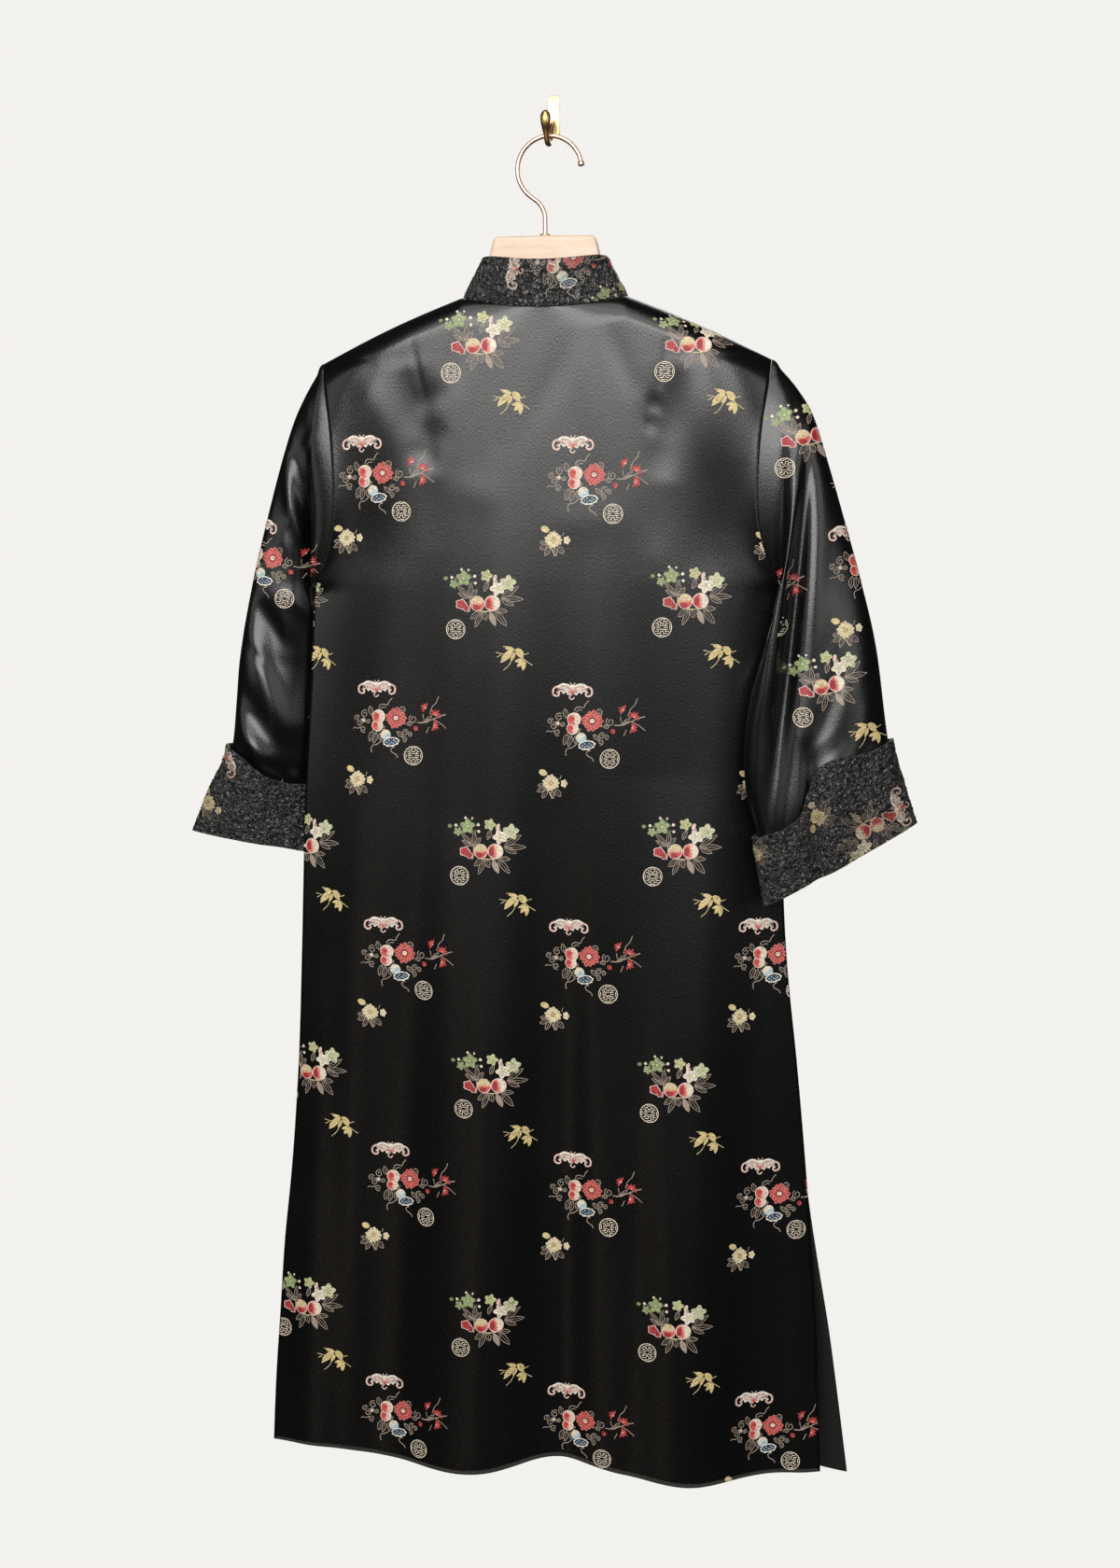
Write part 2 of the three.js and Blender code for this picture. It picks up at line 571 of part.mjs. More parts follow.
for (let i = 0; i < FROG.count; i += 1) {
  const z = FROG.topZ - i * FROG.spacing;
  const lift = SEAM_GAP + FROG.cordRadius + FROG.seatClear;
  // The loop: one cord laid double, its bend round the knot.
  const bend = FROG.knotRadius + SEAM_GAP + FROG.cordRadius;
  const loopPath = [
    ...FROG_RUN.map((x) => [x, FROG.runGap]),
    ...evenly(FROG.bendStart, 2 * Math.PI - FROG.bendStart, 8).map(
      (angle) => [bend * Math.cos(angle), bend * Math.sin(angle)],
    ),
    ...[...FROG_RUN].reverse().map((x) => [x, -FROG.runGap]),
  ];
  const loopCurve = new THREE.CatmullRomCurve3(loopPath.map(
    ([x, dz]) => onFront(x, z + dz, lift + FROG.loopRise * ease(1 - x / FROG.riseStart)),
  ), false, 'centripetal');
  object.add(loft(`frog_loop_${i + 1}`, rodRings(loopCurve, 28, 6, () => FROG.cordRadius), piping()));

  // The knot and its own laid bar, on the other front.
  const knotRings = FROG_KNOT.map((section) => {
    const seat = onFront(section.x, z, SEAM_GAP + FROG.seatClear + section.deep);
    return roundTurns(8).map((turn) => new THREE.Vector3(
      seat.x,
      seat.y + section.deep * Math.sin(turn),
      seat.z + section.high * Math.cos(turn),
    ));
  });
  object.add(loft(`frog_knot_${i + 1}`, knotRings, piping()));
}

// ---------------------------------------------------------------- hanger, its hook and the wall hook

const hangerRings = [];
for (const hand of [-1, 1]) {
  const rows = hand < 0 ? [...HANGER_SECTIONS].reverse() : HANGER_SECTIONS.slice(1);
  for (const row of rows) {
    hangerRings.push(roundTurns(16).map((turn) => {
      const power = 2 / row.roundness;
      const shape = (value) => Math.sign(value) * Math.abs(value) ** power;
      const middle = (row.top + row.bottom) / 2;
      return new THREE.Vector3(
        HANG.x + hand * row.x,
        HANG.y + row.halfThick * shape(Math.cos(turn)),
        middle + (row.top - middle) * shape(Math.sin(turn)),
      );
    }));
  }
}
object.add(loft('hanger_wood', hangerRings, beech()));

const ringPoint = (degrees) => {
  const angle = THREE.MathUtils.degToRad(degrees);
  return new THREE.Vector3(
    HOOK.ringX + HOOK.ringRadius * Math.cos(angle),
    HANG.y,
    HOOK.ringZ + HOOK.ringRadius * Math.sin(angle),
  );
};
const hookCurve = new THREE.CatmullRomCurve3([
  new THREE.Vector3(HOOK.stemX, HANG.y, HANGER_SECTIONS[0].top + SEAM_GAP),
  new THREE.Vector3(HOOK.stemX, HANG.y, HOOK.stemTopZ - HOOK.bend),
  new THREE.Vector3(HOOK.stemX - 0.6, HANG.y, HOOK.stemTopZ),
  new THREE.Vector3(HOOK.stemX - 5, HANG.y, HOOK.stemTopZ + HOOK.bend),
  ...RING_STATIONS.map(ringPoint),
], false, 'centripetal');
const hookRadius = (t) => {
  const tip = (t - 1 + HOOK.tipShare) / HOOK.tipShare;
  if (tip < 0) return HOOK.wireRadius;
  return mix(HOOK.wireRadius, HOOK.tipRadius, Math.sin(0.8 * Math.PI * Math.min(1, tip)));
};
object.add(loft('hanger_hook', rodRings(hookCurve, 48, 8, hookRadius), copper()));

const corner = PLATE.corner;
const plateOutline = new THREE.Shape();
plateOutline.absarc(PLATE.width / 2 - corner, PLATE.height / 2 - corner, corner, 0, Math.PI / 2);
plateOutline.absarc(corner - PLATE.width / 2, PLATE.height / 2 - corner, corner, Math.PI / 2, Math.PI);
plateOutline.absarc(corner - PLATE.width / 2, corner - PLATE.height / 2, corner, Math.PI, 1.5 * Math.PI);
plateOutline.absarc(PLATE.width / 2 - corner, corner - PLATE.height / 2, corner, 1.5 * Math.PI, 2 * Math.PI);
const plateGeometry = new THREE.ExtrudeGeometry(plateOutline, {
  depth: PLATE.thickness - 2 * PLATE.bevel, bevelEnabled: true, bevelThickness: PLATE.bevel,
  bevelSize: PLATE.bevel, bevelOffset: -PLATE.bevel, bevelSegments: 1, curveSegments: 4,
});
plateGeometry.translate(0, 0, PLATE.bevel);
const plate = new THREE.Mesh(plateGeometry, brass());
plate.name = 'wall_plate';
plate.rotation.x = Math.PI / 2;
object.add(plate);

// The peg leaves the plate, dips under the hanger's wire and turns up into a drop-shaped tip.
const seatZ = HOOK.ringZ + HOOK.ringRadius - HOOK.wireRadius - SEAM_GAP - PEG.radius - PEG.seatClear;
const PEG_LINE = table('y z', [
  [-PLATE.thickness - SEAM_GAP, -7],
  [-6, -7],
  [-11, -9.5],
  [-22, -18],
  [-36, seatZ + 3],
  [-48, seatZ - 0.4],
  [HANG.y, seatZ],
  [-63, seatZ + 3.4],
  [-69, seatZ + 10],
  [-70, -13],
  [-70, -8.4],
]);
const pegCurve = new THREE.CatmullRomCurve3(
  PEG_LINE.map(({ y, z }) => new THREE.Vector3(0, y, z)), false, 'centripetal',
);
const pegRadius = (t) => {
  const swell = ease((t - PEG.swellStart) / PEG.swellLength);
  const end = clamp((t - 1 + PEG.endShare) / PEG.endShare, 0, 1);
  return mix(PEG.radius, PEG.tipRadius, swell) * Math.sqrt(Math.max(0.02, 1 - end * end));
};
object.add(loft('wall_peg', rodRings(pegCurve, 28, 8, pegRadius), brass()));

export default object;
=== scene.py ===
"""A long satin brocade jacket, back outwards, on a wooden hanger and a small brass wall hook.

Metres in Blender, with each piece's sizes given in millimetres. +Z is up, +Y runs into the wall and
the origin is the middle of the wall plate's back face. Left and right are the wearer's.
"""
import math

import bpy
import numpy as np
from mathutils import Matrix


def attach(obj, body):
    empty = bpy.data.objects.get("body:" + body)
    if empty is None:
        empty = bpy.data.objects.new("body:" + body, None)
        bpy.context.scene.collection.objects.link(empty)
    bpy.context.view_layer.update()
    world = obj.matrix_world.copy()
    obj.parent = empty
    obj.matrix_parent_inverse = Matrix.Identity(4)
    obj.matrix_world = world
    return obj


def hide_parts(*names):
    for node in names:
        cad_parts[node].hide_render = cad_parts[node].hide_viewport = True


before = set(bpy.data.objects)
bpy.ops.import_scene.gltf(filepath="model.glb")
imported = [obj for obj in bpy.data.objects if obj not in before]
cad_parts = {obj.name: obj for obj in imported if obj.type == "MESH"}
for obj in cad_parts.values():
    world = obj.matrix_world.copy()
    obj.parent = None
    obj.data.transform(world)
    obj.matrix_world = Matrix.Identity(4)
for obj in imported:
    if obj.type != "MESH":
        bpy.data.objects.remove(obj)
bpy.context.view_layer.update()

# ------------------------------------------------------------------ camera, light and floor
# A hanging jacket is seen from about its own chest height and from a little to its right. Wide soft
# panels give the satin its sheen, and a low narrow one draws the folds near the hem.
CAMERA = dict(place=(0.2036, -1.8545, -0.383), turn=6.1, down=7.2, lens=45, sensor=36)
FLOOR_Z, FLOOR_RADIUS, FLOOR_SIDES = -1960, 800, 96
ROOM = dict(lit=("d9dde2", 0.032), seen=("f5f3ef", 0.985))   # what lights the jacket, what the camera sees
PANELS = [
    # name, place, aim, width, height, watts, colour
    ("key_panel", (-0.2, -3.4, 0.68), (0, -0.08, -0.35), 3.7, 1.36, 138, (1.0, 0.985, 0.97)),
    ("left_panel", (-2.8, -1.7, 0.2), (0, -0.06, -0.6), 1.3, 2.0, 10, (1.0, 0.99, 0.98)),
    ("right_panel", (2.6, -1.9, 0.3), (0, -0.06, -0.5), 1.5, 1.8, 17, (1.0, 0.99, 0.98)),
    ("low_warm_panel", (-1.35, -2.9, -1.75), (0, -0.09, -0.95), 0.14, 2.2, 1.15, (1.0, 0.80, 0.58)),
    ("mid_panel", (0.4, -3.4, -0.42), (0, -0.08, -0.45), 3.6, 0.76, 4.2, (1.0, 0.985, 0.97)),
    ("upper_panel", (-0.1, -2.5, 2.0), (0, -0.06, -0.25), 3.0, 1.2, 42, (1.0, 0.99, 0.98)),
    ("top_panel", (-0.1, -1.2, 2.3), (0, -0.06, -0.25), 1.8, 0.9, 14, (1.0, 0.99, 0.98)),
    ("behind_panel", (0.3, 3.4, 1.2), (0, -0.06, -0.6), 2.4, 1.6, 26, (1.0, 0.99, 0.98)),
]
scene = bpy.context.scene
scene.view_settings.view_transform = "Standard"


def link(obj):
    scene.collection.objects.link(obj)
    return obj


camera = link(bpy.data.objects.new("camera", bpy.data.cameras.new("camera")))
camera.location = CAMERA["place"]
camera.rotation_euler = (math.radians(90 - CAMERA["down"]), 0, math.radians(CAMERA["turn"]))
camera.data.lens = CAMERA["lens"]
camera.data.sensor_width = CAMERA["sensor"]
scene.camera = camera

for name, place, aim, width, height, watts, colour in PANELS:
    lamp = bpy.data.lights.new(name, "AREA")
    lamp.shape, lamp.size, lamp.size_y = "RECTANGLE", width, height
    lamp.energy, lamp.color = watts, colour
    panel = link(bpy.data.objects.new(name, lamp))
    panel.location = place
    toward = np.subtract(aim, place)
    panel.rotation_euler = (
        math.atan2(math.hypot(toward[0], toward[1]), -toward[2]), 0, math.atan2(-toward[0], toward[1]))


class Term:
    """A number that varies over a surface. Sums and products of it add Math nodes to its tree."""

    def __init__(self, tree, socket):
        self.tree, self.socket = tree, socket

    def sum(self, operation, first, second):
        return self.tree.node("ShaderNodeMath", {"operation": operation}, {0: first, 1: second}, "Value")

    def __add__(self, other):
        return self.sum("ADD", self, other)

    def __sub__(self, other):
        return self.sum("SUBTRACT", self, other)

    def __mul__(self, other):
        return self.sum("MULTIPLY", self, other)

    def __rsub__(self, other):
        return self.sum("SUBTRACT", other, self)

    __radd__, __rmul__ = __add__, __mul__


class Tree:
    """A node tree, to which every node but the sums is added by one method."""

    def __init__(self, tree):
        self.tree, self.shader = tree, tree.nodes.get("Principled BSDF")

    def node(self, kind, settings=None, sockets=None, output=None):
        """A node with its settings made first, then its sockets' values or links."""
        made = self.tree.nodes.new(kind)
        for key, value in (settings or {}).items():
            if key == "stops":
                ramp = made.color_ramp
                while len(ramp.elements) < len(value):
                    ramp.elements.new(0.5)
                for element, (place, colour) in zip(ramp.elements, value):
                    element.position, element.color = place, (*colour, 1)
            else:
                setattr(made, key, value)
        for key, value in (sockets or {}).items():
            self.feed(made.inputs[key], value)
        return made if output is None else Term(self, made.outputs[output])

    def feed(self, socket, value):
        if isinstance(value, Term):
            value = value.socket
        if isinstance(value, bpy.types.NodeSocket):
            self.tree.links.new(value, socket)
        else:
            socket.default_value = (*value, 1) if socket.type == "RGBA" and len(value) == 3 else value

    def shade(self, **values):
        """Sets or links the shader's sockets."""
        for key, value in values.items():
            self.feed(self.shader.inputs[key.replace("_", " ")], value)

    def grain(self, scale, detail, stretch=(1, 1, 1), **more):
        """Noise on a piece's own coordinates, stretched along them."""
        place = self.node("ShaderNodeTexCoord").outputs["Object"]
        place = self.node("ShaderNodeMapping", None, {"Vector": place, "Scale": stretch}).outputs[0]
        return self.node("ShaderNodeTexNoise", None, {
            "Vector": place, "Scale": scale, "Detail": detail, **more}, "Fac")

    def blend(self, share, one, two, way="MIX"):
        return self.node("ShaderNodeMix", {"data_type": "RGBA", "blend_type": way},
                         {0: share, 6: one, 7: two}).outputs[2]

    def ramp(self, value, *stops):
        return self.node("ShaderNodeValToRGB", {"stops": stops}, {"Fac": value}).outputs[0]

    def bump(self, strength, distance, height):
        return self.node("ShaderNodeBump", None, {
            "Strength": strength, "Distance": distance, "Height": height}).outputs[0]


def finish(name, **fixed):
    """A material and its tree, with the shader's constant sockets set."""
    material = bpy.data.materials.new(name)
    material.use_nodes = True
    tree = Tree(material.node_tree)
    tree.shade(**fixed)
    return material, tree


def ink(colour):
    """A colour's hex digits as linear values."""
    parts = [int(colour[i:i + 2], 16) / 255 for i in (0, 2, 4)]
    return tuple(c / 12.92 if c <= 0.04045 else ((c + 0.055) / 1.055) ** 2.4 for c in parts)


def mesh_object(name, points, faces, materials):
    """An object from points in millimetres, smooth shaded."""
    mesh = bpy.data.meshes.new(name)
    mesh.from_pydata((np.asarray(points, float) / 1000).tolist(), [], [list(map(int, f)) for f in faces])
    mesh.shade_smooth()
    for material in materials:
        mesh.materials.append(material)
    return link(bpy.data.objects.new(name, mesh))


floor_paint, tree = finish("floor_paint", Roughness=0.9)
speckle = tree.node("ShaderNodeTexNoise", None, {"Scale": 6.0, "Detail": 3.0}, "Fac")
tree.shade(Base_Color=tree.blend(speckle, ink("e6e1da"), ink("ece8e2")))
floor_turns = np.linspace(0, 2 * np.pi, FLOOR_SIDES + 1)[:-1]
floor = mesh_object("floor", [
    (FLOOR_RADIUS * math.cos(a), FLOOR_RADIUS * math.sin(a), FLOOR_Z) for a in floor_turns],
    [range(FLOOR_SIDES)], [floor_paint])

world = bpy.data.worlds.new("studio")
scene.world = world
world.use_nodes = True
tree = Tree(world.node_tree)
lit, seen = (tree.node("ShaderNodeBackground", None, {"Color": ink(colour), "Strength": strength}).outputs[0]
             for colour, strength in (ROOM["lit"], ROOM["seen"]))
by_camera = tree.node("ShaderNodeLightPath", output="Is Camera Ray")
tree.feed(world.node_tree.nodes["World Output"].inputs["Surface"], tree.node(
    "ShaderNodeMixShader", None, {0: by_camera, 1: lit, 2: seen}).outputs[0])

# ------------------------------------------------------------------ wooden hanger
# A flat beech hanger with sloping arms. Its block stands up out of the collar, and the wood has fine
# long grain along the arms under a thin matt lacquer.
HANG_X, HANG_Y = -2, -56


def table(names, rows):
    """A table's columns as arrays, by name. The first is its key."""
    return dict(zip(names.split(), np.array(rows, float).T))


def smooth(rows, column, at):
    """A column's value where the key is `at`, with the rows joined by one smooth curve."""
    key, value = next(iter(rows.values())), rows[column]
    if key[0] > key[-1]:
        key, at = -key, -np.asarray(at, float)
    count = np.arange(len(key))
    before, after = np.maximum(count - 1, 0), np.minimum(count + 1, len(key) - 1)
    slope = (value[after] - value[before]) / (key[after] - key[before])
    i = np.clip(np.searchsorted(key, at, side="right") - 1, 0, len(key) - 2)
    span = key[i + 1] - key[i]
    t = np.clip((at - key[i]) / span, 0, 1)
    return ((2 * t**3 - 3 * t**2 + 1) * value[i] + (t**3 - 2 * t**2 + t) * span * slope[i]
            + (3 * t**2 - 2 * t**3) * value[i + 1] + (t**3 - t**2) * span * slope[i + 1])


HANGER = table("x top bottom half_thick roundness", [
    (0, -115, -192, 9.5, 5), (44, -115.5, -199, 9.5, 5), (47, -120, -200, 9.5, 5),
    (50, -133, -201, 9.5, 4.5), (53, -150, -202, 10, 4), (57, -163, -203, 11, 3.5),
    (64, -170.6, -205, 11, 3), (78, -173.6, -209, 11.5, 2.8), (100, -181.8, -216, 12, 2.6),
    (130, -194.7, -228, 12, 2.4), (160, -207.6, -239, 10.5, 2.3), (180, -217, -244, 8, 2.2),
    (188, -223.5, -240, 5, 2.1),
])
BLOCK_HALF, ARM_START, ARM_END = 38, 40, 188
BLOCK_RINGS, ARM_RINGS, HANGER_SIDES = 12, 90, 48


def loft(rings):
    """Points and faces of a closed body through rings of equal size, with its ends fanned shut."""
    rings = np.asarray(rings, float)
    count, size = rings.shape[:2]
    points = np.concatenate([rings.reshape(-1, 3), rings[[0, -1]].mean(axis=1)])
    r, c = np.meshgrid(np.arange(count - 1), np.arange(size), indexing="ij")
    a, b = r * size + c, r * size + (c + 1) % size
    faces = np.stack([a, b, b + size, a + size], axis=-1).reshape(-1, 4).tolist()
    last = (count - 1) * size
    for k in range(size):
        faces.append([count * size, (k + 1) % size, k])
        faces.append([count * size + 1, last + k, last + (k + 1) % size])
    return points, faces


def facing_out(obj):
    """Turns a closed body's faces outwards."""
    mesh = obj.data
    co = np.array([v.co for v in mesh.vertices])
    volume = sum(np.dot(co[p.vertices[0]], np.cross(co[p.vertices[i]], co[p.vertices[i + 1]]))
                 for p in mesh.polygons for i in range(1, len(p.vertices) - 1))
    if volume < 0:
        mesh.flip_normals()
    return obj


def carried(obj, slot, *nodes):
    """What every finished piece says: the body it rides on and the solids it stands for. Its finish, the
    slot, is not used.
    """
    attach(obj, "root")
    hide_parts(*nodes)
    return obj


beech, tree = finish("beech", Roughness=0.5, IOR=1.45)
ALONG_THE_ARMS = (6.0, 60.0, 60.0)
grain = tree.grain(3.0, 5.0, ALONG_THE_ARMS, Roughness=0.62)
fleck = tree.grain(16.0, 2.0, ALONG_THE_ARMS)
tree.shade(Roughness=0.38 + grain * 0.22, Normal=tree.bump(0.25, 0.0004, grain), Base_Color=tree.ramp(
    grain * 0.8 + fleck * 0.2, (0.30, ink("bfa48c")), (0.55, ink("d1baa6")), (0.75, ink("dccaba"))))

hanger_x = np.concatenate([
    -np.linspace(ARM_END, ARM_START, ARM_RINGS), np.linspace(-BLOCK_HALF, BLOCK_HALF, BLOCK_RINGS),
    np.linspace(ARM_START, ARM_END, ARM_RINGS)])
turns = np.linspace(0, 2 * np.pi, HANGER_SIDES + 1)[:-1]


def hanger_ring(x):
    row = {name: np.interp(abs(x), HANGER["x"], HANGER[name]) for name in HANGER}
    power = 2 / row["roundness"]
    across = np.sign(np.cos(turns)) * np.abs(np.cos(turns)) ** power
    up = np.sign(np.sin(turns)) * np.abs(np.sin(turns)) ** power
    middle = (row["top"] + row["bottom"]) / 2
    return np.stack([np.full_like(turns, HANG_X + x), HANG_Y + row["half_thick"] * across,
                     middle + (row["top"] - middle) * up], axis=-1)


hanger = facing_out(mesh_object("hanger", *loft([hanger_ring(x) for x in hanger_x]), [beech]))
carried(hanger, "pale_wood", "hanger_wood")

# ------------------------------------------------------------------ the hanger's wire hook
# A plated steel wire, screwed into the top of the wood. It rises, bends back and turns three
# quarters of a circle over the peg, and its end is rounded into a bead.
WIRE = dict(radius=1.95, ring=29, ring_x=2, ring_z=-57, stem_x=-2, stem_foot=-114.7, stem_top=-95, bend=8,
            bead=3, bead_share=0.035, bead_swell=0.8, bead_round=0.72, steps=260, sides=24)
SPANS_PER_POINT = 24
# The ferrule that the wire screws through: its height and radius from the wood up.
FERRULE = [(-115.3, 4.2), (-114.9, 4.6), (-113.6, 4.4), (-113.2, 3.4)]


def through(points, count):
    """A curve through points, sampled evenly along its length: a centripetal Catmull-Rom spline."""
    p = np.asarray(points, float)
    p = np.concatenate([[2 * p[0] - p[1]], p, [2 * p[-1] - p[-2]]])
    steps = np.maximum(np.linalg.norm(np.diff(p, axis=0), axis=1) ** 0.5, 1e-6)
    fine = []
    for i in range(1, len(p) - 2):
        a, b, c = steps[i - 1], steps[i], steps[i + 1]
        out = ((p[i] - p[i - 1]) / a - (p[i + 1] - p[i - 1]) / (a + b) + (p[i + 1] - p[i]) / b) * b
        into = ((p[i + 1] - p[i]) / b - (p[i + 2] - p[i]) / (b + c) + (p[i + 2] - p[i + 1]) / c) * b
        t = np.linspace(0, 1, SPANS_PER_POINT, endpoint=False)[:, None]
        fine.append((2 * t**3 - 3 * t**2 + 1) * p[i] + (t**3 - 2 * t**2 + t) * out
                    + (3 * t**2 - 2 * t**3) * p[i + 1] + (t**3 - t**2) * into)
    fine = np.concatenate([*fine, p[-2:-1]])
    length = np.concatenate([[0], np.cumsum(np.linalg.norm(np.diff(fine, axis=0), axis=1))])
    at = np.linspace(0, length[-1], count)
    return np.stack([np.interp(at, length, fine[:, k]) for k in range(3)], axis=-1)


def rod(line, radii, sides):
    """Points and faces of a round rod along a line, with a radius at each step."""
    along = np.gradient(line, axis=0)
    along /= np.linalg.norm(along, axis=1)[:, None]
    side = np.cross(along[0], (0.3, 0.5, 0.8))
    rings = []
    for centre, ahead, radius in zip(line, along, radii):
        side = side - ahead * np.dot(side, ahead)
        side /= np.linalg.norm(side)
        up = np.cross(ahead, side)
        turn = np.linspace(0, 2 * np.pi, sides + 1)[:-1, None]
        rings.append(centre + radius * (np.cos(turn) * side + np.sin(turn) * up))
    return loft(rings)


rose_gold, tree = finish("rose_gold_plate", Metallic=0.86)
scuffs = tree.grain(220.0, 4.0)
tree.shade(Base_Color=tree.blend(scuffs, ink("e3b294"), ink("f2cbb2")), Roughness=0.20 + scuffs * 0.18)

ring_turns = np.radians([224, 200, 175, 150, 125, 100, 75, 50, 25, 4])
wire_line = through([
    (WIRE["stem_x"], HANG_Y, WIRE["stem_foot"]),
    (WIRE["stem_x"], HANG_Y, WIRE["stem_top"] - WIRE["bend"]),
    (WIRE["stem_x"] - 0.6, HANG_Y, WIRE["stem_top"]),
    (WIRE["stem_x"] - 5, HANG_Y, WIRE["stem_top"] + WIRE["bend"]),
    *[(WIRE["ring_x"] + WIRE["ring"] * math.cos(a), HANG_Y, WIRE["ring_z"] + WIRE["ring"] * math.sin(a))
      for a in ring_turns]], WIRE["steps"])
share = np.linspace(0, 1, len(wire_line))
tip = np.clip((share - 1 + WIRE["bead_share"]) / WIRE["bead_share"], 0, 1)
wire_radii = WIRE["radius"] + (WIRE["bead"] - WIRE["radius"]) * np.sin(WIRE["bead_swell"] * np.pi * tip)
closing = np.clip((tip - WIRE["bead_round"]) / (1 - WIRE["bead_round"]), 0, 1)
wire_radii *= np.sqrt(np.maximum(0.03, 1 - closing**2))
wire = facing_out(mesh_object("wire_hook", *rod(wire_line, wire_radii, WIRE["sides"]), [rose_gold]))
carried(wire, "copper_wire", "hanger_hook")
ferrule = facing_out(mesh_object("wire_ferrule", *rod(
    np.array([(WIRE["stem_x"], HANG_Y, z) for z, _ in FERRULE]), [radius for _, radius in FERRULE], 32),
    [rose_gold]))
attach(ferrule, "root")

# ------------------------------------------------------------------ brass wall hook
# A cast brass peg on a small plate. It leaves the plate, dips under the hanger's wire and turns up
# into a drop-shaped end, and handling has dulled it in patches.
PEG = dict(radius=2.5, tip=4.6, swell_start=0.76, swell_length=0.16, end=0.07, seat=-32.7, steps=160,
           sides=32)

brass, tree = finish("brass", Metallic=1.0)
tarnish = tree.grain(90.0, 5.0)
tree.shade(Base_Color=tree.ramp(tarnish, (0.35, ink("c09a5c")), (0.6, ink("e6c894"))),
           Roughness=0.22 + tarnish * 0.22)
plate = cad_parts["wall_plate"]
plate.data.materials.clear()
plate.data.materials.append(brass)

seat = PEG["seat"]
peg_line = through([(0, y, z) for y, z in [
    (-3.3, -7), (-6, -7), (-11, -9.5), (-22, -18), (-36, seat + 3), (-48, seat - 0.4), (HANG_Y, seat),
    (-63, seat + 3.4), (-69, seat + 10), (-70, -13), (-70, -8.4)]], PEG["steps"])
share = np.linspace(0, 1, len(peg_line))
swell = np.clip((share - PEG["swell_start"]) / PEG["swell_length"], 0, 1)
swell = swell * swell * (3 - 2 * swell)
end = np.clip((share - 1 + PEG["end"]) / PEG["end"], 0, 1)
peg_radii = (PEG["radius"] + (PEG["tip"] - PEG["radius"]) * swell) * np.sqrt(np.maximum(0.02, 1 - end**2))
peg = facing_out(mesh_object("wall_peg_cast", *rod(peg_line, peg_radii, PEG["sides"]), [brass]))
carried(peg, "brass", "wall_peg")

# ------------------------------------------------------------------ back and fronts
# Satin brocade, cut as one back with two shoulder darts and two fronts, with the sides open from the
# hip down. The cloth hangs from the hanger's arms in soft folds that open towards the hem.
CLOTH = 1.6
SEAM_GAP, HALF_GAP = 0.3, 0.15
NECK = dict(half_width=75, back_depth=32, front_depth=29, side_z=-169, back_dip=12, front_dip=68,
            front_start=0.42, front_curve=1.15)
SHOULDER = dict(tip_x=204, tip_z=-226, roll=24, rise=2.5)
UNDERARM_Z, ARMHOLE_DEPTH, HEM_Z = -432, 22, -1266
ROLL_SHARE, FRONT_EDGE, FOLDS_FADE = 0.1, 0.001, 0.12
ARMHOLE_LOCAL = dict(from_z=-246, over=186, power=15)   # towards the underarm it shapes only the edge
HEM_HALF = {-1: 267, 1: 275}
BODY_WIDTH = table("z back left right sway", [
    (-226, 204, 204, 204, 0), (-250, 201, 201, 201, 0), (-283, 196, 196, 196, 0), (-325, 193, 193, 193, 0),
    (-368, 194, 194, 194, 0), (-398, 201, 201, 201, 0), (-432, 215, 215, 215, 0),
    (-520, 220, 220, 220, -1), (-620, 224, 224, 224, -4), (-700, 226, 226, 226, -5),
    (-780, 230, 230, 230, -4), (-870, 237, 237, 237, -1),
    (-940, 243, 243, 243, 0), (-995, 248, 248, 248, 0), (-1060, 254, 252, 259, -1),
    (-1130, 259, 256, 271, -1),
    (-1200, 263, 261, 282, -2), (-1290, 267, 265, 294, -2),
])
BODY_DEPTH = table("z middle power edge", [
    (-160, 32, 7, 1.75), (-260, 31, 6, 1.75), (-432, 31, 3.4, 1.75), (-650, 28, 3, 1.75),
    (-900, 27, 3, 1.75), (-995, 28, 3, 1.75), (-1130, 31, 3, 6), (-1290, 34, 3, 12),
])
FOLD = "x1 z1 x2 z2 width rise"
FOLDS = {-1: table(FOLD, [
    (-60, -640, -76, -1900, 46, 11), (24, -560, 14, -1900, 34, -13), (118, -600, 148, -1900, 50, 12),
    (-150, -700, -196, -1900, 40, -7), (205, -800, 232, -1900, 26, -6), (-118, -232, -104, -330, 16, -3),
    (120, -232, 108, -335, 16, -3),
]), 1: table(FOLD, [
    (-95, -560, -118, -1900, 44, 10), (-28, -640, -40, -1900, 28, -9), (62, -600, 70, -1900, 42, 10),
    (140, -660, 158, -1900, 40, -9), (-190, -760, -205, -1900, 34, -6), (215, -800, 240, -1900, 34, 7),
])}
HEM_WAVE = table("x back front", [
    (-300, 5, 2), (-210, 4, -2), (-140, -2, -6), (-76, -6, -4), (16, 6, 2), (80, -3, -5), (148, -8, 1),
    (215, -3, -6), (300, 0, -12),
])
